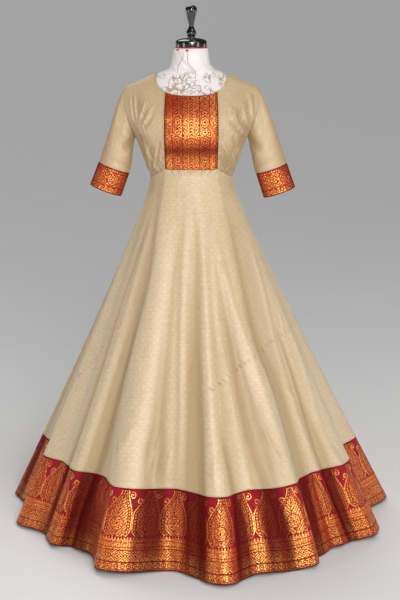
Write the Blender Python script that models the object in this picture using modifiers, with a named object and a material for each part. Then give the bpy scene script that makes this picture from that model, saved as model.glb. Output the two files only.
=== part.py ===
"""Anarkali gown on a limbless dress form, at its real size.

Frame: metres, +Z up. The front of the gown faces -Y and its wearer's right side lies towards -X.
The origin is the middle of the stand's flat underside, on the form's own axis.

The gown is made of sewn pieces, each a thin wall on a surface that is worked out from a few
tables: level sections of the body, the two armholes, the sleeves and the folds of the skirt.
"""
import math

import bpy
import numpy as np

# ---- Cloth ----
SILK_WALL = 0.0015
BROCADE_WALL = 0.0018
SEAM_GAP = 0.0003
SLEEVE_GAP = 0.0005         # where the sleeve rounds away from the bodice

# ---- Heights of the gown ----
NECK_POINT_Z = 1.380        # where shoulder seam and neckline meet
SHOULDER_END_Z = 1.343
ARMPIT_Z = 1.190
EMPIRE_FRONT_Z = 1.105      # empire seam under the yoke panel
EMPIRE_SIDE_Z = 1.072       # the same seam at the sides and back
HEM_Z = 0.010               # the hem just clears the floor

# ---- Widths of the gown, from the middle ----
NECK_POINT_X = 0.105
SHOULDER_END_X = 0.191
YOKE_HALF = 0.0765          # yoke panel at its ends
YOKE_SWELL = 0.0030         # and how much more at bust height
EMPIRE_SIDE_X = 0.1245
FRONT_NECK_DROP = 0.0613
BACK_NECK_DEPTH = 0.078     # back neckline behind the shoulder seams
NECK_SQUARENESS = 2.8       # 2 is an ellipse; more is squarer
FRONT_SHOULDER_ROLL = 0.13  # height over which the front curves back to the shoulder seam
BACK_SHOULDER_ROLL = 0.11
SHOULDER_SLOPE = (NECK_POINT_Z - SHOULDER_END_Z) / (SHOULDER_END_X - NECK_POINT_X)

# ---- Skirt ----
HEM_MIDDLE = (0.0257, 0.0)  # the hem's middle lies a little off the form's axis
HEM_RADIUS = 0.545
FLARE_START = 0.03          # share of the skirt's length in which the flare begins
FOLD_GROWTH = 1.35          # folds deepen with this power of the way down
BORDER_DEPTH = 0.228        # border, measured down the slope

# ---- Form and stand ----
FORM_EASE = 0.0045          # form inside the gown's outer surface
SHOULDER_EASE = 0.0024      # the same at the shoulders, where the gown hangs
FORM_BOTTOM_Z = 0.80
NECK_TOP_Z = 1.4525
POLE_RADIUS = 0.0125
BASE_RADIUS = 0.17
BASE_COLLAR_TOP = 0.050

# Level sections of the bodice's outer surface: height, half width, and how far the middle of the
# front and of the back stand out. Above the armpit the half width is that of the whole section,
# which the armhole cuts short.
BODY_SECTIONS = np.array([
    # z,     half,   front,  back
    (1.055, 0.1240, 0.1010, 0.0950),
    (1.072, 0.1245, 0.1020, 0.0955),
    (1.105, 0.1360, 0.1070, 0.0980),
    (1.150, 0.1520, 0.1200, 0.1030),
    (1.190, 0.1680, 0.1270, 0.1070),
    (1.220, 0.1880, 0.1270, 0.1100),
    (1.250, 0.2060, 0.1220, 0.1110),
    (1.298, 0.2220, 0.0990, 0.1070),
    (1.343, 0.2280, 0.0800, 0.0960),
    (1.385, 0.2300, 0.0720, 0.0860),
])

# The armhole's edge, from armpit to shoulder: height and distance from the middle.
ARMHOLE = np.array([
    # z,     x
    (1.190, 0.1680),
    (1.220, 0.1795),
    (1.249, 0.1905),
    (1.298, 0.2020),
    (1.328, 0.1985),
    (1.343, 0.1910),
])

# Sleeves, named from the wearer's side: the middle of the cuff seam and of the open end.
SLEEVES = (
    # name,   side, seam_x, seam_z, end_x,  end_z
    ("right", -1.0, 0.2329, 1.0997, 0.2591, 1.0305),
    ("left", 1.0, 0.2406, 1.0970, 0.2656, 1.0241),
)
SLEEVE_HALF_WIDE = 0.0490
SLEEVE_HALF_DEEP = 0.0470
CUFF_FLARE = 1.025          # open end over cuff seam
SHOULDER_TURN = 0.30        # how slowly the sleeve turns down from the shoulder; 1 is slowest

# Folds round the hem, anticlockwise from above: where each crest stands (degrees from the front,
# towards +X), how far out it reaches, and the same for the valley after it.
SKIRT_FOLDS = np.array([
    # crest,  reach, valley,  reach
    (-104.0, 0.625, -90.0, 0.530),
    (-78.0, 0.582, -67.0, 0.522),
    (-58.0, 0.530, -43.0, 0.483),
    (-29.0, 0.558, -9.0, 0.504),
    (7.0, 0.597, 18.5, 0.540),
    (31.0, 0.565, 50.5, 0.509),
    (71.0, 0.577, 87.0, 0.530),
    (101.5, 0.620, 113.0, 0.532),
    (125.0, 0.578, 137.0, 0.520),
    (150.0, 0.602, 163.0, 0.515),
    (176.0, 0.572, 189.0, 0.505),
    (202.0, 0.596, 214.0, 0.524),
    (229.0, 0.566, 241.0, 0.518),
])
RIGHT_SEAM_FOLD = 0         # side seams run down the valleys after these folds
LEFT_SEAM_FOLD = 6

# Dress form below the waist and up the neck: height, half width, front and back.
FORM_HIPS = np.array([
    # z,     half,   front,  back
    (0.800, 0.1480, 0.1000, 0.1060),
    (0.860, 0.1560, 0.1080, 0.1180),
    (0.930, 0.1480, 0.1080, 0.1170),
    (1.000, 0.1290, 0.1000, 0.1000),
    (1.055, 0.1195, 0.0965, 0.0905),
])
FORM_NECK = np.array([
    # z,     half,   front,  back
    (1.3700, 0.1170, 0.0560, 0.0620),
    (1.3780, 0.0990, 0.0545, 0.0600),
    (1.3880, 0.0800, 0.0535, 0.0570),
    (1.3980, 0.0665, 0.0530, 0.0545),
    (1.4100, 0.0580, 0.0525, 0.0530),
    (1.4250, 0.0535, 0.0515, 0.0520),
    (1.4525, 0.0480, 0.0480, 0.0480),
])

# Heights of the torso's rings, closest together over the shoulders and up the neck.
FORM_LEVELS = (
    0.800, 0.851, 0.902, 0.953, 1.004, 1.055, 1.085, 1.113, 1.141, 1.168, 1.196, 1.224, 1.252, 1.279,
    1.307, 1.335, 1.346, 1.355, 1.363, 1.370, 1.378, 1.388, 1.398, 1.410, 1.425, NECK_TOP_Z,
)
FORM_SIDE_SQUARENESS = 14   # how bluntly the torso ends at the armholes
NECK_BLEND = 0.028          # height over which the shoulders turn into the neck

# Turned pieces: radius, and height above the piece's own foot, from top to bottom.
RIM_PROFILE = (
    (0.0, 0.0030), (0.0468, 0.0030), (0.0478, 0.0015), (0.0468, 0.0), (0.0, 0.0),
)
CAP_SIDE_PROFILE = (
    (0.0466, 0.0080), (0.0462, 0.0010), (0.0452, 0.0), (0.0, 0.0),
)
CAP_RADIUS = 0.0462
CAP_SHOULDER = 0.0150       # where the cap's side turns into its dome
CAP_DOME = 0.0115
DOME_STEPS = 8
FINIAL_PROFILE = (
    (0.0, 0.0945), (0.0060, 0.0940), (0.0115, 0.0918), (0.0150, 0.0880), (0.0166, 0.0825),
    (0.0164, 0.0765), (0.0148, 0.0680), (0.0118, 0.0545), (0.0088, 0.0420), (0.0072, 0.0355),
    (0.0076, 0.0320), (0.0095, 0.0265), (0.0128, 0.0205), (0.0149, 0.0150), (0.0140, 0.0095),
    (0.0118, 0.0040), (0.0112, 0.0), (0.0, 0.0),
)
BASE_PROFILE = (
    (0.0, BASE_COLLAR_TOP), (0.0225, BASE_COLLAR_TOP), (0.0240, 0.0485), (0.0240, 0.0260),
    (0.0300, 0.0190), (0.0900, 0.0150), (0.1600, 0.0115), (0.1680, 0.0085), (BASE_RADIUS, 0.0050),
    (BASE_RADIUS, 0.0), (0.0, 0.0),
)

# ---- Mesh density ----
SIDE_ROWS = 6               # side seam, bottom to armpit
ARMHOLE_LOW_ROWS = 7        # armpit to the yoke's top corner
ARMHOLE_TOP_ROWS = 5        # from there to the shoulder seam
ARMPIT_AT = 0.43            # share of a bodice edge at the armpit
YOKE_TOP_AT = 0.776         # and at the yoke's top corner
SEAM_STEP = 0.012           # narrow step along a seam that rounds over, as a share of the piece
SIDE_COLUMNS = 8
BACK_NECK_COLUMNS = 5
SHOULDER_COLUMNS = 4
YOKE_COLUMNS = 8
SLEEVE_ROWS = 8
CUFF_ROWS = 2
FOLD_COLUMNS = 4            # from a crest to its valley
SKIRT_ROWS = 8
BORDER_ROWS = 3
FORM_COLUMNS = 40
TURNED_STEPS = 28

MATERIALS = {
    # name: base colour, roughness, metallic
    "cream_silk": ((0.72, 0.60, 0.42), 0.50, 0.0),
    "zari_brocade": ((0.42, 0.12, 0.03), 0.38, 0.35),
    "form_cover": ((0.86, 0.84, 0.82), 0.75, 0.0),
    "rim_red": ((0.45, 0.02, 0.03), 0.55, 0.0),
    "black_gloss": ((0.010, 0.010, 0.010), 0.20, 0.0),
    "stand_metal": ((0.05, 0.05, 0.05), 0.35, 0.6),
}


# ---------------------------------------------------------------- curves and surfaces


def smooth_curve(xs, ys, x):
    """Values of a smooth curve through (xs, ys): cubic pieces whose slopes never overshoot."""
    xs = np.asarray(xs, float)
    ys = np.asarray(ys, float)
    x = np.clip(x, xs[0], xs[-1])
    step = np.diff(xs)
    slope = np.diff(ys) / step
    turn = slope[:-1] * slope[1:] > 0
    mean = 2 * slope[:-1] * slope[1:] / np.where(turn, slope[:-1] + slope[1:], 1.0)
    tangent = np.concatenate(([slope[0]], np.where(turn, mean, 0.0), [slope[-1]]))
    i = np.clip(np.searchsorted(xs, x, side="right") - 1, 0, len(step) - 1)
    q = (x - xs[i]) / step[i]
    rise = ys[i + 1] - ys[i]
    ease = q * q * (3 - 2 * q)
    lead = tangent[i] * step[i] * q * (1 - q) ** 2
    trail = tangent[i + 1] * step[i] * q * q * (q - 1)
    return ys[i] + rise * ease + lead + trail


def smoothstep(q):
    """0 to 1, level at both ends."""
    q = np.clip(q, 0.0, 1.0)
    return q * q * (3 - 2 * q)


def section(table, z, column):
    """One column of a table of sections, read at height z."""
    return smooth_curve(table[:, 0], table[:, column], z)


def shoulder_line(x):
    """Height of the shoulder seam's line at distance x from the middle."""
    return SHOULDER_END_Z + (SHOULDER_END_X - np.abs(x)) * SHOULDER_SLOPE


def body_depth(x, z, side, ease=0.0, shoulder_ease=0.0):
    """How far the body's surface stands out at (x, z): an ellipse in each level section, times
    a quarter ellipse that rolls it back to nothing at the shoulder seam. side 2 is the front."""
    half = section(BODY_SECTIONS, z, 1) - ease
    depth = section(BODY_SECTIONS, z, side) - ease
    roll = FRONT_SHOULDER_ROLL if side == 2 else BACK_SHOULDER_ROLL
    q = np.clip((shoulder_line(x) - shoulder_ease - z) / roll, 0.0, 1.0)
    across = np.sqrt(np.clip(1 - (x / half) ** 2, 0.0, 1.0))
    return depth * across * np.sqrt(1 - (1 - q) ** 2)


def empire_seam(x, front):
    """Height of the empire seam: level at the back, raised under the yoke, where it drops in a
    straight slant from each corner of the panel to the side seam."""
    slant = np.clip((EMPIRE_SIDE_X - np.abs(x)) / (EMPIRE_SIDE_X - YOKE_HALF), 0.0, 1.0)
    return EMPIRE_SIDE_Z + (EMPIRE_FRONT_Z - EMPIRE_SIDE_Z) * slant * front


def seam_height(angle, front):
    """Height of the empire seam at this angle round the body."""
    z = np.full(np.shape(angle), EMPIRE_SIDE_Z)
    for _ in range(8):
        z = empire_seam(section(BODY_SECTIONS, z, 1) * np.sin(angle), front)
    return z


def neckline(x):
    """Height of the front neckline at distance x from the middle."""
    inside = np.clip(np.abs(x) / NECK_POINT_X, 0.0, 1.0) ** NECK_SQUARENESS
    return NECK_POINT_Z - FRONT_NECK_DROP * (1 - inside) ** (1 / NECK_SQUARENESS)


def neckline_reach(z):
    """Distance from the middle of the front neckline at height z."""
    drop = ((NECK_POINT_Z - z) / FRONT_NECK_DROP) ** NECK_SQUARENESS
    return NECK_POINT_X * (1 - drop) ** (1 / NECK_SQUARENESS)


def back_neckline(x):
    """Height of the back neckline, which seen from above is half an ellipse."""
    depth = BACK_NECK_DEPTH * np.sqrt(np.clip(1 - (x / NECK_POINT_X) ** 2, 0.0, 1.0))
    full = section(BODY_SECTIONS, NECK_POINT_Z, 3)
    return shoulder_line(x) - BACK_SHOULDER_ROLL * (1 - np.sqrt(1 - (depth / full) ** 2))


def outer_edge(t):
    """Side seam, then armhole: distance from the middle and height, for t from 0 to 1."""
    rise = np.clip(t / ARMPIT_AT, 0.0, 1.0)
    seam_z = EMPIRE_SIDE_Z + (ARMPIT_Z - EMPIRE_SIDE_Z) * rise
    round_up = np.clip((t - ARMPIT_AT) / (1 - ARMPIT_AT), 0.0, 1.0)
    hole_z = ARMPIT_Z + (SHOULDER_END_Z - ARMPIT_Z) * (1 - np.cos(math.pi * round_up)) / 2
    z = np.where(t < ARMPIT_AT, seam_z, hole_z)
    hole_x = smooth_curve(ARMHOLE[:, 0], ARMHOLE[:, 1], z)
    return np.where(t <= ARMPIT_AT, section(BODY_SECTIONS, z, 1), hole_x), z


def yoke_edge(t):
    """Edge of the yoke panel, then neckline: distance from the middle and height."""
    up = np.clip(t / YOKE_TOP_AT, 0.0, 1.0)
    over = np.clip((t - YOKE_TOP_AT) / (1 - YOKE_TOP_AT), 0.0, 1.0)
    corner_z = neckline(YOKE_HALF)
    panel_z = EMPIRE_FRONT_Z + (corner_z - EMPIRE_FRONT_Z) * up
    panel_x = YOKE_HALF + YOKE_SWELL * np.sin(math.pi * up)
    neck_z = NECK_POINT_Z - (NECK_POINT_Z - corner_z) * (1 - over) ** 2
    below = t <= YOKE_TOP_AT
    return np.where(below, panel_x, neckline_reach(neck_z)), np.where(below, panel_z, neck_z)


def with_seam_step(steps):
    """Steps from 0 to 1 with one more just before the end, so that a wall that rounds over at a
    seam meets the next wall square."""
    return np.insert(steps, -1, 1.0 - SEAM_STEP)


def bodice_rows():
    """Levels of a bodice piece from the empire seam to the shoulder, with rows on its corners."""
    low = np.linspace(0.0, ARMPIT_AT, SIDE_ROWS + 1)
    middle = np.linspace(ARMPIT_AT, YOKE_TOP_AT, ARMHOLE_LOW_ROWS + 1)
    top = np.linspace(YOKE_TOP_AT, 1.0, ARMHOLE_TOP_ROWS + 1)
    return with_seam_step(np.concatenate((low, middle[1:], top[1:])))


def angle_at(x, z):
    """The angle round the body's section at which it reaches distance x at height z."""
    return np.arcsin(np.clip(x / section(BODY_SECTIONS, z, 1), -1.0, 1.0))


def on_body(angle, z, side):
    """Point of the body's surface at this angle from the middle of the front or back, half a
    seam's gap clear of the plane between them."""
    x = section(BODY_SECTIONS, z, 1) * np.sin(angle)
    facing = -1.0 if side == 2 else 1.0
    y = facing * (body_depth(x, z, side) + SEAM_GAP / 2)
    return np.stack((x, y, z), axis=-1)


def edge(x, z):
    """An edge drawn as distance and height, turned into angle and height."""
    x, z = np.broadcast_arrays(np.asarray(x, float), np.asarray(z, float))
    return np.stack((angle_at(x, z), z), axis=-1)


def patch(low, high, first, last, t, s, side):
    """Body surface inside four edges (a Coons patch of their angles and heights): low and high
    run along s, first and last run along t."""
    s = s[None, :, None]
    t = t[:, None, None]
    across = first[:, None] * (1 - s) + last[:, None] * s
    up = low[None] * (1 - t) + high[None] * t
    corners = (low[0] * (1 - s) + low[-1] * s) * (1 - t) + (high[0] * (1 - s) + high[-1] * s) * t
    grid = across + up - corners
    return on_body(grid[..., 0], grid[..., 1], side)


def front_side_grid():
    """Front bodice piece on the +X side: rows up, columns from yoke panel to side seam."""
    t = bodice_rows()
    s = with_seam_step(np.linspace(0.0, 1.0, SIDE_COLUMNS + 1))
    in_x, in_z = yoke_edge(t)
    first = edge(in_x + SEAM_GAP * (t <= YOKE_TOP_AT), in_z)
    last = edge(*outer_edge(t))
    angle = first[0, 0] + (last[0, 0] - first[0, 0]) * s
    low = np.stack((angle, seam_height(angle, 1.0)), axis=-1)
    shoulder_x = NECK_POINT_X + (SHOULDER_END_X - NECK_POINT_X) * s
    high = edge(shoulder_x, shoulder_line(shoulder_x))
    return patch(low, high, first, last, t, s, 2)


def yoke_grid():
    """Yoke panel: rows up to the neckline, columns from -X to +X."""
    t = bodice_rows()
    t = t[t <= YOKE_TOP_AT + 1e-9]
    s = np.linspace(0.0, 1.0, YOKE_COLUMNS + 1)
    half, z = yoke_edge(t)
    x = YOKE_HALF * (2 * s - 1)
    low = edge(x, EMPIRE_FRONT_Z)
    high = edge(x, neckline(x))
    return patch(low, high, edge(-half, z), edge(half, z), t / YOKE_TOP_AT, s, 2)


def back_grid():
    """Back bodice piece: rows up, columns from +X to -X so that its faces look out."""
    t = bodice_rows()
    turn = np.linspace(math.pi / 2, 0.0, BACK_NECK_COLUMNS + 1)
    neck_x = NECK_POINT_X * np.cos(turn)
    along = with_seam_step(np.linspace(0.0, 1.0, SHOULDER_COLUMNS + 1))[1:]
    shoulder_x = NECK_POINT_X + (SHOULDER_END_X - NECK_POINT_X) * along
    neck = edge(neck_x, back_neckline(neck_x))
    shoulder = edge(shoulder_x, shoulder_line(shoulder_x))
    half = np.concatenate((neck, shoulder))
    mirror = np.array([-1.0, 1.0])
    high = np.concatenate((half[::-1], half[1:] * mirror))
    s = (1 - high[:, 0] / high[0, 0]) / 2
    last = edge(*outer_edge(t))
    low = np.stack((last[0, 0] * (1 - 2 * s), np.full(s.shape, EMPIRE_SIDE_Z)), axis=-1)
    return patch(low, high, last, last * mirror, t, s, 3)


def armhole_loop():
    """The armhole's edge on the +X side as a closed ring: shoulder, front, armpit, back."""
    t = bodice_rows()
    t = t[t >= ARMPIT_AT - 1e-9][::-1]
    x, z = outer_edge(t)
    front = on_body(angle_at(x, z), z, 2)
    back = on_body(angle_at(x, z), z, 3)
    return np.concatenate((front, back[::-1][1:-1]))


def sleeve_frame(seam_x, seam_z, end_x, end_z):
    """A sleeve's axis at the cuff, and the direction across it that points out and up."""
    axis = np.array([end_x - seam_x, 0.0, end_z - seam_z])
    axis = axis / np.linalg.norm(axis)
    return axis, np.array([-axis[2], 0.0, axis[0]])


def cuff_ring(centre, outward, scale, count):
    """Ellipse square to the sleeve: from its outer side round by the front."""
    turn = np.linspace(0.0, 2 * math.pi, count, endpoint=False)[:, None]
    out = np.cos(turn) * outward * SLEEVE_HALF_WIDE
    forward = np.sin(turn) * np.array([0.0, -1.0, 0.0]) * SLEEVE_HALF_DEEP
    return centre + (out + forward) * scale


def sleeve_grid(row):
    """Sleeve on the +X side: cubic curves from the armhole's edge to the ring at the cuff seam.
    They leave the shoulder along its slope and arrive along the arm."""
    _, _, seam_x, seam_z, end_x, end_z = row
    axis, outward = sleeve_frame(seam_x, seam_z, end_x, end_z)
    start = armhole_loop()
    end = cuff_ring(np.array([seam_x, 0.0, seam_z]), outward, 1.0, len(start))
    slope = np.array([1.0, 0.0, -SHOULDER_SLOPE]) / math.hypot(1.0, SHOULDER_SLOPE)
    turn = np.linspace(0.0, 2 * math.pi, len(start), endpoint=False)[:, None]
    top = np.clip(np.cos(turn), 0.0, 1.0)
    leave = axis + (slope - axis) * top
    leave = leave / np.linalg.norm(leave, axis=1, keepdims=True)
    length = np.linalg.norm(end - start, axis=1, keepdims=True)
    turn_length = length * (1.0 - (1.0 - SHOULDER_TURN) * top)
    start = start + leave * SLEEVE_GAP
    end = end - axis * SEAM_GAP
    w = 1.0 - with_seam_step(np.linspace(0.0, 1.0, SLEEVE_ROWS + 1))[::-1, None, None]
    ease = w * w * (3 - 2 * w)
    lead = w * (1 - w) ** 2
    trail = w * w * (w - 1)
    return start + (end - start) * ease + leave * turn_length * lead + axis * length * trail


def cuff_grid(row):
    """Cuff on the +X side: the sleeve's last ring carried along the arm, a little wider."""
    _, _, seam_x, seam_z, end_x, end_z = row
    axis, outward = sleeve_frame(seam_x, seam_z, end_x, end_z)
    count = len(armhole_loop())
    first = cuff_ring(np.array([seam_x, 0.0, seam_z]), outward, 1.0, count)
    last = cuff_ring(np.array([end_x, 0.0, end_z]), outward, CUFF_FLARE, count)
    w = np.linspace(0.0, 1.0, CUFF_ROWS + 1)[:, None, None]
    return first + (last - first) * w


def fold_offset(angle):
    """How far the hem stands out from its mean radius at this angle: level at each crest and
    valley of the table, and eased between them."""
    at = np.degrees(angle)
    crests = SKIRT_FOLDS[:, :2]
    valleys = SKIRT_FOLDS[:, 2:]
    knots = np.stack((crests, valleys), axis=1).reshape(-1, 2)
    close = knots[0] + (360.0, 0.0)
    knots = np.vstack((knots, close))
    at = (at - knots[0, 0]) % 360.0 + knots[0, 0]
    i = np.clip(np.searchsorted(knots[:, 0], at, side="right") - 1, 0, len(knots) - 2)
    q = (at - knots[i, 0]) / (knots[i + 1, 0] - knots[i, 0])
    reach = knots[i, 1] + (knots[i + 1, 1] - knots[i, 1]) * smoothstep(q)
    return reach - HEM_RADIUS


def skirt_point(angle, v):
    """Point of the skirt at this angle, v from 0 at the empire seam to 1 at the hem. It goes
    from the body's section to a circle, with the folds growing down it."""
    front = (np.cos(angle) > 0) * 1.0
    top = seam_height(angle, front)
    half = section(BODY_SECTIONS, top, 1)
    depth = np.where(front > 0, section(BODY_SECTIONS, top, 2), section(BODY_SECTIONS, top, 3))
    waist = np.stack((half * np.sin(angle), -depth * np.cos(angle), top), axis=-1)
    out = np.stack((np.sin(angle), -np.cos(angle), np.zeros_like(angle)), axis=-1)
    hem = out * HEM_RADIUS + np.array([HEM_MIDDLE[0], HEM_MIDDLE[1], HEM_Z])
    soft = math.hypot(1.0, FLARE_START) - FLARE_START
    flare = (np.hypot(v, FLARE_START) - FLARE_START) / soft
    share = np.stack((flare, flare, v), axis=-1)
    fold = fold_offset(angle) * v ** FOLD_GROWTH
    return waist + (hem - waist) * share + out * fold[..., None]


def fold_columns(first, last):
    """Angles of a skirt piece's columns: equal steps between each crest and its valley. In front
    the nearest column is moved to each corner of the yoke, where the empire seam bends."""
    marks = SKIRT_FOLDS[:, (0, 2)].reshape(-1)
    marks = np.concatenate((marks, marks + 360.0))
    marks = marks[(marks >= first - 1e-9) & (marks <= last + 1e-9)]
    steps = [np.linspace(a, b, FOLD_COLUMNS, endpoint=False) for a, b in zip(marks[:-1], marks[1:])]
    columns = np.concatenate(steps + [marks[-1:]])
    corner = math.degrees(angle_at(YOKE_HALF, EMPIRE_FRONT_Z))
    if first < -corner:
        columns[np.argmin(np.abs(columns + corner))] = -corner
        columns[np.argmin(np.abs(columns - corner))] = corner
    return np.radians(columns)


def skirt_spans():
    """Front and back halves of the skirt between the side seams, in degrees."""
    right = SKIRT_FOLDS[RIGHT_SEAM_FOLD, 2]
    left = SKIRT_FOLDS[LEFT_SEAM_FOLD, 2]
    return {"front": (right, left), "back": (left, right + 360.0)}


def border_start():
    """Share of the skirt's height at which the border begins."""
    slope = math.hypot(EMPIRE_SIDE_Z - HEM_Z, HEM_RADIUS - EMPIRE_SIDE_X)
    return 1.0 - BORDER_DEPTH / slope


def skirt_grid(span, start, end, rows):
    """Part of the skirt between two shares of its height, rows downwards."""
    angle = fold_columns(*span)
    v = np.linspace(start, end, rows + 1)[:, None]
    angle, v = np.broadcast_arrays(angle[None, :], v)
    points = skirt_point(angle, v)
    edge = np.zeros(angle.shape)
    edge[:, 0] = 1.0
    edge[:, -1] = -1.0
    along = np.stack((np.cos(angle), np.sin(angle), np.zeros_like(angle)), axis=-1)
    return points + along * (edge * SEAM_GAP / 2)[..., None]


# ---------------------------------------------------------------- meshes


def add_object(name, mesh, slot):
    """Put a mesh in the part's collection under this name, with its material."""
    obj = bpy.data.objects.new(name, mesh)
    bpy.data.collections["anarkali_gown"].objects.link(obj)
    obj.data.materials.append(bpy.data.materials[slot])
    return obj


def grid_mesh(name, points, closed, capped=False):
    """Surface over a grid of points: rows by columns, joined round where closed, and shut with a
    flat face at each end where capped."""
    rows, columns = points.shape[:2]
    mesh = bpy.data.meshes.new(name)
    faces = []
    for i in range(rows - 1):
        for j in range(columns if closed else columns - 1):
            k = (j + 1) % columns
            faces.append((i * columns + j, i * columns + k, (i + 1) * columns + k, (i + 1) * columns + j))
    if capped:
        faces.append(tuple(reversed(range(columns))))
        faces.append(tuple(range((rows - 1) * columns, rows * columns)))
    mesh.from_pydata(points.reshape(-1, 3).tolist(), [], faces)
    mesh.shade_smooth()
    return mesh


def add_cloth(name, points, slot, wall, closed=False, flip=False):
    """Cloth piece: a wall on the inner side of the surface over these points."""
    if flip:
        points = points[::-1]
    obj = add_object(name, grid_mesh(name, points, closed), slot)
    shell = obj.modifiers.new("wall", "SOLIDIFY")
    shell.thickness = wall
    shell.offset = -1.0
    return obj


def mirrored(points):
    """The same grid on the other side, with its columns turned so that faces still look out."""
    return points[:, ::-1] * np.array([-1.0, 1.0, 1.0])


def add_turned(name, profile, foot, slot):
    """Turned piece standing at this height: its profile, from top to bottom, swept about +Z."""
    mesh = bpy.data.meshes.new(name)
    points = [(radius, 0.0, height) for radius, height in profile]
    mesh.from_pydata(points, [(i, i + 1) for i in range(len(points) - 1)], [])
    obj = add_object(name, mesh, slot)
    obj.location.z = foot
    turn = obj.modifiers.new("turn", "SCREW")
    turn.axis = "Z"
    turn.steps = TURNED_STEPS
    turn.render_steps = TURNED_STEPS
    turn.use_merge_vertices = True
    turn.merge_threshold = 0.0001
    return obj


# ---------------------------------------------------------------- the gown


def build_bodice():
    """Front pieces, yoke panel and back."""
    side = front_side_grid()
    add_cloth("bodice_front_left", side, "cream_silk", SILK_WALL)
    add_cloth("bodice_front_right", mirrored(side), "cream_silk", SILK_WALL)
    add_cloth("yoke_panel", yoke_grid(), "zari_brocade", BROCADE_WALL)
    add_cloth("bodice_back", back_grid(), "cream_silk", SILK_WALL)


def build_sleeves():
    """A sleeve and its cuff on each side."""
    for row in SLEEVES:
        name, side = row[:2]
        sleeve = sleeve_grid(row)
        cuff = cuff_grid(row)
        if side < 0:
            sleeve = mirrored(sleeve)
            cuff = mirrored(cuff)
        add_cloth("sleeve_" + name, sleeve, "cream_silk", SILK_WALL, closed=True)
        add_cloth("cuff_" + name, cuff, "zari_brocade", BROCADE_WALL, closed=True)


def build_skirt():
    """Skirt and border, each in a front and a back half."""
    seam = border_start()
    gap = SEAM_GAP / (EMPIRE_SIDE_Z - HEM_Z)
    for name, span in skirt_spans().items():
        skirt = skirt_grid(span, gap, seam - gap / 2, SKIRT_ROWS)
        border = skirt_grid(span, seam + gap / 2, 1.0, BORDER_ROWS)
        add_cloth("skirt_" + name, skirt, "cream_silk", SILK_WALL, flip=True)
        add_cloth("hem_border_" + name, border, "zari_brocade", BROCADE_WALL, flip=True)


# ---------------------------------------------------------------- the dress form


def form_ring(z):
    """One level ring of the form. Inside the gown it follows the body's sections, drawn in by
    its ease and closed at the shoulders; hips and neck have sections of their own."""
    turn = np.linspace(0.0, 2 * math.pi, FORM_COLUMNS, endpoint=False)
    side = np.where(np.cos(turn) > 0, 2, 3)
    if z <= FORM_HIPS[-1, 0]:
        table = FORM_HIPS
    else:
        table = FORM_NECK
    depth = np.where(side == 2, section(table, z, 2), section(table, z, 3))
    plain = np.stack((section(table, z, 1) * np.sin(turn), -depth * np.cos(turn)), axis=-1)
    if z <= FORM_HIPS[-1, 0]:
        return plain
    reach = NECK_POINT_X + (NECK_POINT_Z - SHOULDER_EASE - z) / SHOULDER_SLOPE
    half = min(section(BODY_SECTIONS, z, 1) - FORM_EASE, SHOULDER_END_X - FORM_EASE, reach)
    x = half * np.sin(turn)
    front = body_depth(x, z, 2, FORM_EASE, SHOULDER_EASE)
    back = body_depth(x, z, 3, FORM_EASE, SHOULDER_EASE)
    blunt = np.sqrt(1 - np.abs(np.sin(turn)) ** FORM_SIDE_SQUARENESS)
    y = np.where(side == 2, -front, back) * blunt
    body = np.stack((x, y), axis=-1)
    share = smoothstep((z - FORM_NECK[0, 0]) / NECK_BLEND)
    return body + (plain - body) * share


def build_torso():
    """Covered torso with its neck: level rings, shut flat at both ends."""
    height = np.ones((FORM_COLUMNS, 1))
    rings = np.stack([np.concatenate((form_ring(z), height * z), axis=1) for z in FORM_LEVELS])
    add_object("form_torso", grid_mesh("form_torso", rings, True, capped=True), "form_cover")


def build_neck():
    """Rim, domed cap and finial, one above the other on the neck."""
    rim_foot = NECK_TOP_Z + SEAM_GAP
    cap_foot = rim_foot + RIM_PROFILE[0][1] + SEAM_GAP
    finial_foot = cap_foot + CAP_SHOULDER + CAP_DOME + SEAM_GAP
    turn = [math.pi / 2 * i / DOME_STEPS for i in range(DOME_STEPS + 1)]
    dome = [(CAP_RADIUS * math.sin(a), CAP_SHOULDER + CAP_DOME * math.cos(a)) for a in turn]
    add_turned("form_neck_rim", RIM_PROFILE, rim_foot, "rim_red")
    add_turned("form_neck_cap", tuple(dome) + CAP_SIDE_PROFILE, cap_foot, "black_gloss")
    add_turned("form_finial", FINIAL_PROFILE, finial_foot, "black_gloss")


def build_stand():
    """Round base that rests flat on the floor, and the pole between it and the torso."""
    pole_foot = BASE_COLLAR_TOP + SEAM_GAP
    length = FORM_BOTTOM_Z - SEAM_GAP - pole_foot
    pole = ((0.0, length), (POLE_RADIUS, length), (POLE_RADIUS, 0.0), (0.0, 0.0))
    add_turned("form_pole", pole, pole_foot, "stand_metal")
    add_turned("form_base", BASE_PROFILE, 0.0, "stand_metal")


# ---------------------------------------------------------------- the scene


def start_scene():
    """Empty scene, the part's collection and its materials."""
    for obj in list(bpy.data.objects):
        bpy.data.objects.remove(obj, do_unlink=True)
    collection = bpy.data.collections.new("anarkali_gown")
    bpy.context.scene.collection.children.link(collection)
    for name, (colour, roughness, metallic) in MATERIALS.items():
        material = bpy.data.materials.new(name)
        material.use_nodes = True
        shader = material.node_tree.nodes["Principled BSDF"]
        shader.inputs["Base Color"].default_value = (*colour, 1.0)
        shader.inputs["Roughness"].default_value = roughness
        shader.inputs["Metallic"].default_value = metallic


def main():
    start_scene()
    build_bodice()
    build_sleeves()
    build_skirt()
    build_torso()
    build_neck()
    build_stand()


if __name__ == "__main__":
    main()
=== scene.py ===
"""Anarkali gown on a dress form: the looks.

The gown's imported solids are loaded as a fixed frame. Each cloth solid gets a finer shell on the
same surface, with creases, puckers and sewn edges, and its finish is worked out by shader maths
from metric coordinates of the weave: u along the cloth and v up it, in metres.

Frame: metres, +Z up. The front of the gown faces -Y and its wearer's right side lies towards -X.
"""
import math

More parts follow.
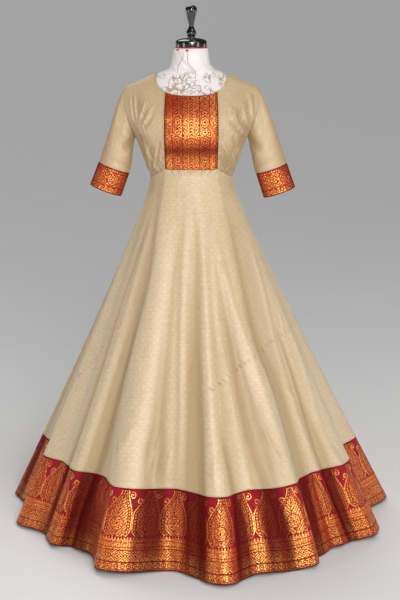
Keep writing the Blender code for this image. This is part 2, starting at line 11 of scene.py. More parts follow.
import bmesh
import bpy
import numpy as np
from mathutils import Matrix, Vector


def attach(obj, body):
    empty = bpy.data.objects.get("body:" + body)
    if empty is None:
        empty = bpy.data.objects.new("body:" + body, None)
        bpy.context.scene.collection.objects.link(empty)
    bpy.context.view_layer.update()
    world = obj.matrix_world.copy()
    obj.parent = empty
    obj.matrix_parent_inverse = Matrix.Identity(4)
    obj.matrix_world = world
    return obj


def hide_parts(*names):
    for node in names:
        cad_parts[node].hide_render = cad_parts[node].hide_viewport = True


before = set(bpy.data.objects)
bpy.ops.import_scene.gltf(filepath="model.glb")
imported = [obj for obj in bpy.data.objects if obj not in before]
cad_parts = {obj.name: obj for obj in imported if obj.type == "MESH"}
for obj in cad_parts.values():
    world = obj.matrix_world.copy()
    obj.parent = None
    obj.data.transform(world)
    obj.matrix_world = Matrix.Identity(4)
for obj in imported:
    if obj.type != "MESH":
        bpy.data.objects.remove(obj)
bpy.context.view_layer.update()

bl_info = {
    "name": "Anarkali gown",
    "version": (1, 0, 0),
    "blender": (4, 5, 0),
    "location": "3D View > Sidebar > Gown",
    "description": "Dresses the gown's frame in silk, zari brocade and a covered form",
    "category": "Add Mesh",
}

# ---------------- the gown's own sizes

WALLS = {"cream_silk": 0.0015, "zari_brocade": 0.0018}  # thickness of each cloth
SEAM_GAP = 0.0002

NECK_POINT_Z = 1.380        # where shoulder seam and neckline meet
SHOULDER_END_Z = 1.343
ARMPIT_Z = 1.190
EMPIRE_FRONT_Z = 1.105      # empire seam under the yoke panel
EMPIRE_SIDE_Z = 1.072       # the same seam at the sides and back
HEM_Z = 0.010

NECK_POINT_X = 0.105
SHOULDER_END_X = 0.191
YOKE_HALF = 0.0765
YOKE_SWELL = 0.0030
EMPIRE_SIDE_X = 0.1245
FRONT_NECK_DROP = 0.0613
BACK_NECK_DEPTH = 0.078
NECK_SQUARENESS = 2.8
FRONT_SHOULDER_ROLL = 0.13
BACK_SHOULDER_ROLL = 0.11
SHOULDER_SLOPE = (NECK_POINT_Z - SHOULDER_END_Z) / (SHOULDER_END_X - NECK_POINT_X)

HEM_MIDDLE = (0.0257, 0.0, HEM_Z)
HEM_RADIUS = 0.545
FLARE_START = 0.03
FOLD_GROWTH = 1.35
BORDER_DEPTH = 0.228

FORM_EASE = 0.0045
SHOULDER_EASE = 0.0024
FORM_BOTTOM_Z = 0.80
NECK_TOP_Z = 1.4525

BODY_SECTIONS = np.array([
    # z,     half,   front,  back
    (1.055, 0.1240, 0.1010, 0.0950),
    (1.072, 0.1245, 0.1020, 0.0955),
    (1.105, 0.1360, 0.1070, 0.0980),
    (1.150, 0.1520, 0.1200, 0.1030),
    (1.190, 0.1680, 0.1270, 0.1070),
    (1.220, 0.1880, 0.1270, 0.1100),
    (1.250, 0.2060, 0.1220, 0.1110),
    (1.298, 0.2220, 0.0990, 0.1070),
    (1.343, 0.2280, 0.0800, 0.0960),
    (1.385, 0.2300, 0.0720, 0.0860),
])

ARMHOLE = np.array([
    # z,     x
    (1.190, 0.1680),
    (1.220, 0.1795),
    (1.249, 0.1905),
    (1.298, 0.2020),
    (1.328, 0.1985),
    (1.343, 0.1910),
])
ARMPIT_AT = 0.43            # share of a bodice edge at the armpit
YOKE_TOP_AT = 0.776         # and at the yoke's top corner

# Sleeves, named from the wearer's side: the middle of the cuff seam and of the open end.
SLEEVES = (
    # name,   side, seam_x, seam_z, end_x,  end_z
    ("right", -1.0, 0.2329, 1.0997, 0.2591, 1.0305),
    ("left", 1.0, 0.2406, 1.0970, 0.2656, 1.0241),
)
SLEEVE_HALF_WIDE = 0.0490
SLEEVE_HALF_DEEP = 0.0470
CUFF_FLARE = 1.025
SHOULDER_TURN = 0.30

# Folds round the hem: where each crest stands (degrees from the front, towards +X), how far out
# it reaches, and the same for the valley after it.
SKIRT_FOLDS = np.array([
    # crest,  reach, valley,  reach
    (-104.0, 0.625, -90.0, 0.530),
    (-78.0, 0.582, -67.0, 0.522),
    (-58.0, 0.530, -43.0, 0.483),
    (-29.0, 0.558, -9.0, 0.504),
    (7.0, 0.597, 18.5, 0.540),
    (31.0, 0.565, 50.5, 0.509),
    (71.0, 0.577, 87.0, 0.530),
    (101.5, 0.620, 113.0, 0.532),
    (125.0, 0.578, 137.0, 0.520),
    (150.0, 0.602, 163.0, 0.515),
    (176.0, 0.572, 189.0, 0.505),
    (202.0, 0.596, 214.0, 0.524),
    (229.0, 0.566, 241.0, 0.518),
])
SIDE_SEAMS = (-90.0, 87.0)  # the valleys that the side seams run down

FORM_HIPS = np.array([
    # z,     half,   front,  back
    (0.800, 0.1480, 0.1000, 0.1060),
    (0.860, 0.1560, 0.1080, 0.1180),
    (0.930, 0.1480, 0.1080, 0.1170),
    (1.000, 0.1290, 0.1000, 0.1000),
    (1.055, 0.1195, 0.0965, 0.0905),
])
FORM_NECK = np.array([
    # z,     half,   front,  back
    (1.3700, 0.1170, 0.0560, 0.0620),
    (1.3780, 0.0990, 0.0545, 0.0600),
    (1.3880, 0.0770, 0.0530, 0.0570),
    (1.3980, 0.0600, 0.0520, 0.0545),
    (1.4100, 0.0520, 0.0505, 0.0515),
    (1.4250, 0.0500, 0.0495, 0.0500),
    (1.4525, 0.0480, 0.0480, 0.0480),
])
FORM_SIDE_SQUARENESS = 14
NECK_BLEND = 0.028

# Rows and columns of each piece's grid.
FRONT_GRID = (150, 108)
BACK_GRID = (96, 52, 30)    # columns of half the neck, then of one shoulder
YOKE_GRID = (130, 84)
SLEEVE_GRID = (100, 84)     # rows of the bodice that its armhole is taken from, then its own
CUFF_GRID = (34, 150)
SKIRT_GRIDS = {"front": (155, 300), "back": (130, 240)}
BORDER_GRIDS = {"front": (36, 460), "back": (30, 420)}
FORM_GRID = (190, 200)

# ---------------- creases, placed one by one

# Bodice front, looked at from the front: both ends, half width, and depth (a trough is negative).
RIGHT_FRONT_CREASES = (
    # x0,     z0,     x1,     z1,    width,   depth,   bow
    (-0.181, 1.325, -0.167, 1.225, 0.0030, 0.0030, 0.003),
    (-0.174, 1.326, -0.163, 1.232, 0.0030, -0.0022, 0.003),
    (-0.168, 1.322, -0.157, 1.240, 0.0030, 0.0034, 0.003),
    (-0.158, 1.312, -0.154, 1.238, 0.0033, -0.0020, 0.002),
    (-0.136, 1.304, -0.158, 1.243, 0.0034, 0.0038, -0.003),
    (-0.116, 1.288, -0.150, 1.228, 0.0045, 0.0046, -0.004),
    (-0.112, 1.270, -0.146, 1.212, 0.0049, -0.0026, -0.004),
    (-0.088, 1.196, -0.107, 1.100, 0.0041, -0.0038, 0.002),
    (-0.098, 1.180, -0.112, 1.092, 0.0037, 0.0042, 0.002),
    (-0.122, 1.170, -0.117, 1.080, 0.0041, -0.0026, 0.001),
    (-0.131, 1.185, -0.124, 1.086, 0.0037, 0.0029, 0.001),
    (-0.152, 1.215, -0.112, 1.150, 0.0082, -0.0020, 0.004),
    (-0.146, 1.200, -0.104, 1.105, 0.0030, 0.0022, 0.006),
    (-0.138, 1.212, -0.096, 1.120, 0.0030, -0.0018, 0.006),
    (-0.104, 1.300, -0.140, 1.262, 0.0030, 0.0018, -0.003),
    (-0.145, 1.160, -0.120, 1.078, 0.0030, 0.0020, 0.003),
    (-0.106, 1.150, -0.100, 1.084, 0.0030, 0.0022, 0.001),
)
LEFT_FRONT_CREASES = (
    (0.173, 1.196, 0.133, 1.296, 0.0051, -0.0052, -0.006),
    (0.166, 1.190, 0.116, 1.300, 0.0045, 0.0049, -0.007),
    (0.176, 1.206, 0.150, 1.306, 0.0041, 0.0049, -0.004),
    (0.178, 1.226, 0.164, 1.318, 0.0034, -0.0029, -0.002),
    (0.184, 1.240, 0.174, 1.325, 0.0031, 0.0038, -0.001),
    (0.189, 1.256, 0.184, 1.330, 0.0030, -0.0023, 0.000),
    (0.162, 1.186, 0.108, 1.262, 0.0057, -0.0026, -0.006),
    (0.130, 1.082, 0.084, 1.196, 0.0039, 0.0049, 0.006),
    (0.124, 1.080, 0.080, 1.180, 0.0033, -0.0035, 0.006),
    (0.117, 1.083, 0.078, 1.164, 0.0031, 0.0042, 0.005),
    (0.109, 1.088, 0.077, 1.148, 0.0030, -0.0029, 0.004),
    (0.101, 1.094, 0.077, 1.134, 0.0030, 0.0034, 0.003),
    (0.134, 1.100, 0.119, 1.214, 0.0041, -0.0026, 0.004),
    (0.141, 1.112, 0.131, 1.205, 0.0037, 0.0030, 0.003),
    (0.152, 1.196, 0.106, 1.104, 0.0030, 0.0022, -0.006),
    (0.144, 1.212, 0.094, 1.126, 0.0030, -0.0018, -0.006),
    (0.104, 1.306, 0.138, 1.262, 0.0030, 0.0018, 0.003),
    (0.096, 1.230, 0.086, 1.120, 0.0030, -0.0018, 0.001),
)
BACK_CREASES = (
    (-0.176, 1.205, -0.126, 1.290, 0.0060, -0.0038, 0.006),
    (-0.182, 1.222, -0.146, 1.312, 0.0048, 0.0042, 0.004),
    (-0.168, 1.192, -0.104, 1.262, 0.0065, 0.0038, 0.006),
    (-0.125, 1.082, -0.088, 1.190, 0.0055, -0.0035, -0.004),
    (-0.116, 1.078, -0.074, 1.168, 0.0048, 0.0038, -0.004),
    (-0.062, 1.076, -0.050, 1.150, 0.0060, -0.0023, 0.000),
    (0.172, 1.198, 0.120, 1.276, 0.0062, -0.0035, -0.006),
    (0.180, 1.214, 0.142, 1.304, 0.0050, 0.0046, -0.005),
    (0.186, 1.240, 0.168, 1.320, 0.0042, -0.0026, -0.002),
    (0.124, 1.080, 0.094, 1.182, 0.0050, 0.0042, 0.004),
    (0.114, 1.078, 0.080, 1.160, 0.0046, -0.0029, 0.004),
    (0.048, 1.076, 0.058, 1.138, 0.0060, 0.0026, 0.000),
)

BODICE_PAINTED_SHADE = 0.52          # painted shade laid over the whole bodice, as a share of the full tone
BODICE_SHADE_DEPTH = 0.0045  # depth of a bodice trough that gets full painted shade

# Painted shade on the bodice's front under the arms and beside the waist, as tone from 0 to 1.
RIGHT_FRONT_PAINTED_SHADE = (
    # x0,     z0,     x1,     z1,    width,  tone,  bow
    (-0.178, 1.270, -0.146, 1.130, 0.014, 0.55, 0.002),
    (-0.160, 1.210, -0.116, 1.040, 0.022, 0.50, 0.002),
    (-0.098, 1.150, -0.094, 1.060, 0.018, 0.30, 0.0),
)
LEFT_FRONT_PAINTED_SHADE = (
    (0.178, 1.270, 0.146, 1.130, 0.016, 0.65, -0.002),
    (0.160, 1.210, 0.116, 1.040, 0.026, 0.70, -0.002),
    (0.098, 1.170, 0.094, 1.060, 0.020, 0.40, 0.0),
    (0.150, 1.300, 0.120, 1.210, 0.012, 0.25, -0.004),
)

# Sleeves, as shares of the way round (0 outside, 0.25 front, 0.5 inside) and down to the cuff.
SLEEVE_CREASES = (
    # turn0, down0, turn1, down1, width,  depth,  bow
    (0.43, 0.08, 0.27, 0.62, 0.040, -0.0026, 0.02),
    (0.47, 0.12, 0.33, 0.74, 0.035, 0.0024, 0.02),
    (0.40, 0.05, 0.24, 0.40, 0.026, 0.0018, 0.01),
    (0.55, 0.12, 0.72, 0.58, 0.040, -0.0028, -0.02),
    (0.52, 0.20, 0.66, 0.72, 0.034, 0.0024, -0.02),
    (0.44, 0.78, 0.16, 0.90, 0.070, -0.0010, 0.02),
    (0.42, 0.88, 0.12, 0.98, 0.050, 0.0009, 0.01),
    (0.62, 0.74, 0.86, 0.92, 0.060, -0.0012, 0.03),
    (0.20, 0.06, 0.17, 0.42, 0.036, 0.0014, 0.0),
    (0.82, 0.05, 0.84, 0.40, 0.036, 0.0014, 0.0),
)
SLEEVE_INNER_PAINTED_SHADE = 0.50    # painted shade of a sleeve's side towards the body
SLEEVE_OUTER_PAINTED_SHADE = 0.60    # and of its outer side
CUFF_SIDE_PAINTED_SHADE = 1.25       # how much more painted shade a cuff's sides have than its front
CUFF_FRONT_PAINTED_SHADE = -0.25
CUFF_LIT = 0.96             # sine of the turn from the side from which a cuff's front, facing the light, has no painted shade
CUFF_LIT_FADE = 0.90

# Flutes of the skirt over its main folds: troughs, of less than no depth, and the ridges between
# them. Each runs down through its rows of share of the way down, angle, half width and depth.
SKIRT_FLUTES = (
    ((0.05, -49.5, 0.006, -0.002), (0.30, -56.8, 0.009, -0.005), (0.60, -59.0, 0.012, -0.007),
     (1.00, -65.0, 0.018, -0.009)),
    ((0.08, -44.5, 0.006, 0.002), (0.30, -48.4, 0.010, 0.005), (0.60, -52.5, 0.014, 0.007),
     (0.80, -54.2, 0.016, 0.011), (1.00, -55.2, 0.017, 0.016)),
    ((0.00, -47.0, 0.008, -0.002), (0.12, -41.0, 0.010, -0.005), (0.28, -35.5, 0.013, -0.007),
     (0.50, -43.0, 0.020, -0.010), (0.75, -47.6, 0.024, -0.012), (0.90, -50.2, 0.018, -0.020),
     (1.00, -50.8, 0.018, -0.022)),
    ((0.72, -42.0, 0.012, 0.002), (0.90, -43.6, 0.026, 0.015), (1.00, -43.6, 0.026, 0.015)),
    ((0.06, -32.0, 0.012, 0.001), (0.30, -24.5, 0.022, 0.003), (0.60, -25.5, 0.030, 0.005),
     (0.80, -28.5, 0.026, 0.008), (0.90, -29.8, 0.030, 0.017), (1.00, -29.8, 0.030, 0.017)),
    ((0.10, -14.0, 0.006, -0.002), (0.36, -16.0, 0.012, -0.003), (0.63, -17.0, 0.020, -0.007),
     (0.74, -17.4, 0.026, -0.011), (0.86, -16.0, 0.026, -0.003), (1.00, -16.0, 0.026, 0.0)),
    ((0.70, -24.0, 0.040, 0.003), (0.84, -24.5, 0.050, 0.018), (1.00, -24.5, 0.052, 0.021)),
    ((0.74, -9.8, 0.036, -0.002), (0.84, -9.8, 0.046, -0.015), (1.00, -9.8, 0.048, -0.017)),
    ((0.07, -6.0, 0.005, 0.002), (0.33, -8.0, 0.008, 0.004), (0.66, -7.3, 0.011, 0.005),
     (0.84, -8.0, 0.014, 0.003), (1.00, -8.0, 0.016, 0.001)),
    ((0.03, 1.5, 0.004, -0.002), (0.20, 1.8, 0.012, -0.005), (0.42, 0.2, 0.019, -0.007),
     (0.70, -0.4, 0.023, -0.009), (0.88, -1.0, 0.021, -0.009), (1.00, -1.3, 0.020, -0.009)),
    ((0.12, 8.5, 0.006, 0.002), (0.36, 6.7, 0.012, 0.004), (0.66, 6.0, 0.018, 0.006),
     (0.84, 7.2, 0.030, 0.008), (1.00, 7.2, 0.030, 0.008)),
    ((0.10, 15.5, 0.005, -0.001), (0.33, 11.8, 0.008, -0.002), (0.60, 8.8, 0.011, -0.003),
     (0.78, 12.6, 0.015, -0.006), (1.00, 12.6, 0.018, -0.008)),
    ((0.15, 17.0, 0.006, 0.001), (0.36, 13.9, 0.009, 0.003), (0.66, 17.5, 0.012, 0.004),
     (0.80, 19.0, 0.015, 0.007), (0.90, 20.3, 0.026, 0.012), (1.00, 20.3, 0.026, 0.012)),
    ((0.22, 18.0, 0.005, -0.002), (0.44, 20.8, 0.014, -0.006), (0.72, 25.0, 0.028, -0.012),
     (0.84, 28.8, 0.030, -0.016), (1.00, 29.4, 0.030, -0.017)),
    ((0.14, 20.0, 0.005, 0.002), (0.34, 24.5, 0.009, 0.004), (0.52, 31.0, 0.013, 0.006),
     (0.78, 35.8, 0.016, 0.007), (0.88, 35.6, 0.024, 0.018), (1.00, 35.6, 0.024, 0.018)),
    ((0.02, 45.0, 0.009, -0.002), (0.12, 42.0, 0.014, -0.005), (0.40, 35.8, 0.020, -0.008),
     (0.56, 41.8, 0.023, -0.010), (0.78, 43.0, 0.023, -0.012), (0.88, 42.6, 0.021, -0.013),
     (1.00, 42.5, 0.020, -0.014)),
    ((0.12, 64.0, 0.006, 0.002), (0.32, 56.2, 0.009, 0.005), (0.50, 51.5, 0.012, 0.006),
     (0.80, 53.0, 0.016, 0.012), (1.00, 53.8, 0.017, 0.016)),
    ((0.34, 56.5, 0.005, -0.002), (0.50, 58.5, 0.009, -0.005), (0.76, 57.0, 0.012, -0.006),
     (1.00, 59.5, 0.014, -0.010)),
    ((0.30, 68.5, 0.006, 0.002), (0.50, 67.0, 0.010, 0.004), (0.70, 62.4, 0.013, 0.005),
     (0.82, 64.6, 0.020, 0.014), (1.00, 65.8, 0.024, 0.018)),
    ((0.05, 104.0, 0.008, -0.002), (0.30, 106.0, 0.014, -0.007), (1.00, 105.0, 0.022, -0.010)),
    ((0.08, 119.0, 0.007, 0.002), (0.40, 121.0, 0.013, 0.005), (1.00, 122.0, 0.020, 0.008)),
    ((0.04, 131.0, 0.007, -0.002), (0.35, 134.0, 0.012, -0.006), (1.00, 137.0, 0.021, -0.010)),
    ((0.10, 143.0, 0.006, 0.002), (0.40, 147.0, 0.011, 0.005), (1.00, 149.0, 0.018, 0.007)),
    ((0.05, 158.0, 0.006, -0.002), (0.40, 160.0, 0.014, -0.008), (1.00, 162.0, 0.022, -0.010)),
    ((0.08, 171.0, 0.006, 0.002), (0.40, 172.0, 0.010, 0.005), (1.00, 173.0, 0.018, 0.007)),
    ((0.03, 182.0, 0.005, -0.002), (0.35, 183.0, 0.013, -0.007), (1.00, 184.0, 0.022, -0.010)),
    ((0.10, 193.0, 0.007, 0.002), (0.45, 195.0, 0.014, 0.005), (1.00, 197.0, 0.020, 0.007)),
    ((0.05, 207.0, 0.006, -0.002), (0.40, 208.0, 0.014, -0.006), (1.00, 210.0, 0.020, -0.009)),
    ((0.08, 219.0, 0.006, 0.002), (0.45, 221.0, 0.012, 0.005), (1.00, 222.0, 0.018, 0.007)),
    ((0.05, 233.0, 0.007, -0.002), (0.40, 235.0, 0.015, -0.008), (1.00, 236.0, 0.022, -0.010)),
    ((0.10, 247.0, 0.007, 0.002), (0.45, 249.0, 0.012, 0.005), (1.00, 250.0, 0.018, 0.007)),
    ((0.06, 258.0, 0.006, -0.002), (0.40, 259.0, 0.012, -0.006), (1.00, 260.0, 0.018, -0.008)),
)
VALLEY_PAINTED_SHADE = 0.45          # painted shade of the valleys between the main folds
VALLEY_REACH = 0.004        # a fold lower than this gets the valleys' painted shade
VALLEY_FADE = (0.006, 0.060)  # how gently, at the waist and how much more at the hem
FLUTE_WAIST = 0.135         # mean radius of the skirt where flutes start
LINE_STEPS = 8              # steps of a flute's line between two of its rows
FLUTE_SHADE_DEPTH = 0.0065  # depth of a trough that gets full painted shade
FLUTE_SHADE_WIDTH = 1.15    # width of its painted shade, over its own
OPEN_TROUGH = 0.031         # a trough of this half width lies open, and gets no painted shade
OPENING = 0.008             # how much narrower it is where its painted shade is full
FLUTE_SOFTENING = 0.009     # how much wider the flutes are near the waist, where they start
FLUTE_START = 0.16          # share of the way down over which a flute fades in
WAIST_SHADE = 0.35          # share of its painted shade that a trough has at the waist
FULL_SHADE_AT = 0.6         # share of the way down at which it has it all
# Painted shade in deep and soft hollows between the folds, where little light gets in, and less of it
# where a row of less than no depth lies on a lit valley floor: rows of share of the way down, angle,
# half width and depth of tone, as for the flutes.
SKIRT_PAINTED_SHADE = (
    ((0.55, -44.0, 0.020, 0.20), (0.80, -47.0, 0.040, 0.70), (0.90, -46.5, 0.048, 1.30),
     (1.00, -47.0, 0.050, 1.20)),
    ((0.60, -17.0, 0.020, 0.30), (0.76, -17.0, 0.030, 0.70), (0.86, -16.6, 0.036, 1.00),
     (1.00, -16.6, 0.036, 1.00)),
    ((0.40, -1.0, 0.014, 0.20), (0.70, -1.5, 0.030, 0.60), (0.86, -1.5, 0.040, 0.90),
     (1.00, -1.5, 0.040, 0.90)),
    ((0.30, 17.0, 0.014, 0.20), (0.55, 21.0, 0.026, 0.50), (0.72, 24.8, 0.034, 1.00),
     (0.86, 25.6, 0.034, 0.90), (1.00, 25.8, 0.034, 0.80)),
    ((0.60, 58.0, 0.014, 0.30), (0.75, 58.5, 0.020, 0.70), (1.00, 59.0, 0.018, 0.60)),
    ((0.60, 41.0, 0.018, 0.20), (0.82, 42.0, 0.030, 0.50), (1.00, 41.5, 0.032, 0.60)),
    ((0.76, 15.0, 0.010, 0.20), (0.86, 15.0, 0.014, 0.90), (1.00, 15.0, 0.014, 0.90)),
    ((0.76, 29.6, 0.012, 0.20), (0.86, 29.6, 0.014, 0.80), (1.00, 29.8, 0.014, 0.80)),
    ((0.76, -9.6, 0.014, -0.10), (0.86, -9.6, 0.018, -0.50), (1.00, -9.6, 0.018, -0.50)),
    ((0.30, 10.8, 0.010, 0.30), (0.70, 11.0, 0.014, 0.45), (0.80, 11.0, 0.014, 0.20),
     (1.00, 11.0, 0.014, 0.0)),
    ((0.52, 24.0, 0.020, 0.20), (0.72, 26.5, 0.030, 0.45), (0.80, 27.0, 0.024, 0.30),
     (1.00, 27.0, 0.020, 0.0)),
    ((0.52, 55.0, 0.014, 0.20), (0.72, 57.5, 0.022, 0.55), (0.80, 58.5, 0.020, 0.45),
     (1.00, 59.0, 0.016, 0.30)),
    ((0.02, 22.0, 0.030, 0.15), (0.20, 26.0, 0.036, 0.30), (0.40, 26.0, 0.030, 0.10),
     (1.00, 26.0, 0.020, 0.0)),
    ((0.76, 22.6, 0.010, 0.10), (0.86, 22.6, 0.014, 0.55), (1.00, 22.6, 0.014, 0.55)),
    ((0.76, -21.0, 0.010, 0.10), (0.86, -21.0, 0.012, 0.45), (1.00, -21.0, 0.012, 0.45)),
)
# Piecing seams of the skirt, drawn tight so that the cloth puckers across them: the seam's two
# ends as angle and share of the way down.
PIECING_SEAMS = (
    # angle0, v0,   angle1, v1
    (74.0, 0.425, 2.0, 0.566),
    (-50.0, 0.405, -80.0, 0.610),
    (132.0, 0.430, 205.0, 0.570),
)
SMALL_PUCKERS = (
    # angle0, v0, angle1, v1, width0, width1, depth
    (-33.5, 0.685, -31.0, 0.722, 0.0050, 0.0050, 0.0034),
    (-35.0, 0.690, -33.0, 0.730, 0.0050, 0.0060, -0.0030),
    (-26.0, 0.640, -32.5, 0.760, 0.0100, 0.0160, 0.0050),
    (66.0, 0.370, 61.0, 0.440, 0.0040, 0.0050, 0.0026),
    (34.0, 0.395, 30.0, 0.440, 0.0045, 0.0050, 0.0026),
    (22.0, 0.235, 20.0, 0.275, 0.0040, 0.0045, 0.0022),
    (40.0, 0.735, 43.0, 0.775, 0.0060, 0.0060, -0.0034),
    (-16.0, 0.670, -19.5, 0.775, 0.0045, 0.0060, 0.0026),
    (-14.5, 0.690, -17.0, 0.780, 0.0045, 0.0055, -0.0022),
    (-11.0, 0.700, -13.0, 0.775, 0.0045, 0.0045, 0.0022),
    (7.0, 0.690, 5.0, 0.775, 0.0045, 0.0045, 0.0020),
    (27.0, 0.640, 33.0, 0.760, 0.0050, 0.0060, 0.0024),
    (-62.0, 0.520, -58.0, 0.600, 0.0050, 0.0050, 0.0024),
    (48.0, 0.560, 55.0, 0.640, 0.0050, 0.0060, 0.0026),
)
PUCKER_STEP = 0.0145
PUCKER_REACH = 0.0065       # half of a pucker's length
PUCKER_DEPTH = 0.0030
PUCKER_LEAN = 0.45          # how far the puckers slant from square to the seam
PUCKER_DRIFT = 0.010        # how far they wander across the seam
PUCKER_UNEVEN = 0.024       # and how uneven their steps along it are
WEAVE_RELIEF = 0.0005
CRUMPLE_DEPTH = 0.0020      # the silk's own soft unevenness

# Fine drag lines of the bodice: they lean inwards on their way down, and stay on the body from
# the seam under the bust to the chest, beside the armholes and in the lower half.
DRAG_DEPTH = 0.0095
DRAG_LEAN = math.radians(25.0)
DRAG_OUTER_X = 0.152
DRAG_INNER_X = 0.122
DRAG_LOW_Z = 1.092
DRAG_HALF_Z = 1.165
DRAG_TOP_Z = 1.320

TROUGH_LIMIT = 0.0024       # no crease of the bodice sinks deeper than this
CREASE_FADE = 0.28          # share of a crease's length over which each end fades
SEWN = -0.0004              # height of an edge that sinks into its seam
SEWN_WIDTH = 0.0045
FOLDED = 0.0018             # height of a turned edge
FOLDED_WIDTH = 0.0034
SKIRT_EDGES = (FOLDED * 0.8, FOLDED * 0.4)  # at the border and at the waist

# The yoke's own slow waves, which catch the light in bands: height, half width and depth; and its
# bands of painted shade, as tone from 0 to 1.
YOKE_WAVES = (
    # z,     width,  depth
    (1.2000, 0.0240, 0.0062),
    (1.1050, 0.0200, 0.0046),
)
YOKE_PAINTED_SHADE = (
    # z,     width,  tone
    (1.3000, 0.0340, 0.50),
    (1.1600, 0.0200, 0.85),
)

# Skirt laid flat: a sector of a cone, so that the weave runs straight over each half.
SKIRT_SLOPE = math.hypot(EMPIRE_SIDE_Z - HEM_Z, HEM_RADIUS - EMPIRE_SIDE_X)
CONE_TURN = (HEM_RADIUS - EMPIRE_SIDE_X) / SKIRT_SLOPE
APEX = EMPIRE_SIDE_X / CONE_TURN

# ---------------- curves


def smooth_curve(xs, ys, x):
    """Values of a smooth curve through (xs, ys): cubic pieces whose slopes never overshoot."""
    xs = np.asarray(xs, float)
    ys = np.asarray(ys, float)
    x = np.clip(x, xs[0], xs[-1])
    step = np.diff(xs)
    slope = np.diff(ys) / step
    turn = slope[:-1] * slope[1:] > 0
    mean = 2 * slope[:-1] * slope[1:] / np.where(turn, slope[:-1] + slope[1:], 1.0)
    tangent = np.concatenate(([slope[0]], np.where(turn, mean, 0.0), [slope[-1]]))
    i = np.clip(np.searchsorted(xs, x, side="right") - 1, 0, len(step) - 1)
    q = (x - xs[i]) / step[i]
    rise = ys[i + 1] - ys[i]
    ease = q * q * (3 - 2 * q)
    lead = tangent[i] * step[i] * q * (1 - q) ** 2
    trail = tangent[i + 1] * step[i] * q * q * (q - 1)
    return ys[i] + rise * ease + lead + trail


def smoothstep(q):
    """0 to 1, level at both ends: 3q^2 - 2q^3."""
    q = np.clip(q, 0.0, 1.0)
    return q * q * (3 - 2 * q)


def bell(q):
    """1 at 0, falling away on both sides: exp(-q^2)."""
    return np.exp(-(q**2))


def full_turn(count):
    """Angles of this many equal steps round, from 0."""
    return np.linspace(0.0, 2 * math.pi, count, endpoint=False)


def section(table, z, column):
    """One column of a table of sections, read at height z."""
    return smooth_curve(table[:, 0], table[:, column], z)


def steps(first, last, count, *close):
    """Positions from first to last whose steps are shorter about some places. Each of close is
    (place, spread, weight): the density is 1 plus the sum of weight x exp(-(distance / spread)^2),
    and the positions cut its integral into equal parts."""
    x = np.linspace(first, last, 4001)
    density = np.ones(x.shape)
    for place, spread, weight in close:
        density += weight * bell((x - place) / spread)
    total = np.concatenate(([0.0], np.cumsum((density[1:] + density[:-1]) / 2)))
    return np.interp(np.linspace(0.0, total[-1], count + 1), total, x)


# ---------------- the bodice's surface


def shoulder_line(x):
    """Height of the shoulder seam at distance x from the middle: a straight slope."""
    return SHOULDER_END_Z + (SHOULDER_END_X - np.abs(x)) * SHOULDER_SLOPE


def body_depth(x, z, side, ease=0.0, shoulder_ease=0.0):
    """How far the body stands out at (x, z): depth x sqrt(1 - (x / half)^2), which is an ellipse
    in each level section, times a quarter ellipse that rolls back to nothing at the shoulder
    seam. side 2 is the front and 3 the back."""
    half = section(BODY_SECTIONS, z, 1) - ease
    depth = section(BODY_SECTIONS, z, side) - ease
    roll = FRONT_SHOULDER_ROLL if side == 2 else BACK_SHOULDER_ROLL
    q = np.clip((shoulder_line(x) - shoulder_ease - z) / roll, 0.0, 1.0)
    across = np.sqrt(np.clip(1 - (x / half) ** 2, 0.0, 1.0))
    return depth * across * np.sqrt(1 - (1 - q) ** 2)


def empire_seam(x, front):
    """Height of the empire seam: level at the back, raised under the yoke, and in front a
    straight slant from each corner of the yoke to the side seam."""
    slant = np.clip((EMPIRE_SIDE_X - np.abs(x)) / (EMPIRE_SIDE_X - YOKE_HALF), 0.0, 1.0)
    return EMPIRE_SIDE_Z + (EMPIRE_FRONT_Z - EMPIRE_SIDE_Z) * slant * front


def seam_height(angle, front):
    """Height of the empire seam at this angle round the body, found by repeated substitution."""
    z = np.full(np.shape(angle), EMPIRE_SIDE_Z)
    for _ in range(8):
        z = empire_seam(section(BODY_SECTIONS, z, 1) * np.sin(angle), front)
    return z


def neckline(x):
    """Height of the front neckline: a superellipse hung from the two neck points."""
    inside = np.clip(np.abs(x) / NECK_POINT_X, 0.0, 1.0) ** NECK_SQUARENESS
    return NECK_POINT_Z - FRONT_NECK_DROP * (1 - inside) ** (1 / NECK_SQUARENESS)


def neckline_reach(z):
    """Distance from the middle of the front neckline at height z, the same curve solved for x."""
    drop = np.clip((NECK_POINT_Z - z) / FRONT_NECK_DROP, 0.0, 1.0) ** NECK_SQUARENESS
    return NECK_POINT_X * (1 - drop) ** (1 / NECK_SQUARENESS)


def back_neckline(x):
    """Height of the back neckline, which seen from above is half an ellipse."""
    depth = BACK_NECK_DEPTH * np.sqrt(np.clip(1 - (x / NECK_POINT_X) ** 2, 0.0, 1.0))
    full = section(BODY_SECTIONS, NECK_POINT_Z, 3)
    return shoulder_line(x) - BACK_SHOULDER_ROLL * (1 - np.sqrt(1 - (depth / full) ** 2))


def outer_edge(t):
    """Side seam, then armhole, as distance from the middle and height for t from 0 to 1."""
    rise = np.clip(t / ARMPIT_AT, 0.0, 1.0)
    seam_z = EMPIRE_SIDE_Z + (ARMPIT_Z - EMPIRE_SIDE_Z) * rise
    round_up = np.clip((t - ARMPIT_AT) / (1 - ARMPIT_AT), 0.0, 1.0)
    hole_z = ARMPIT_Z + (SHOULDER_END_Z - ARMPIT_Z) * (1 - np.cos(math.pi * round_up)) / 2
    z = np.where(t < ARMPIT_AT, seam_z, hole_z)
    hole_x = smooth_curve(ARMHOLE[:, 0], ARMHOLE[:, 1], z)
    return np.where(t <= ARMPIT_AT, section(BODY_SECTIONS, z, 1), hole_x), z


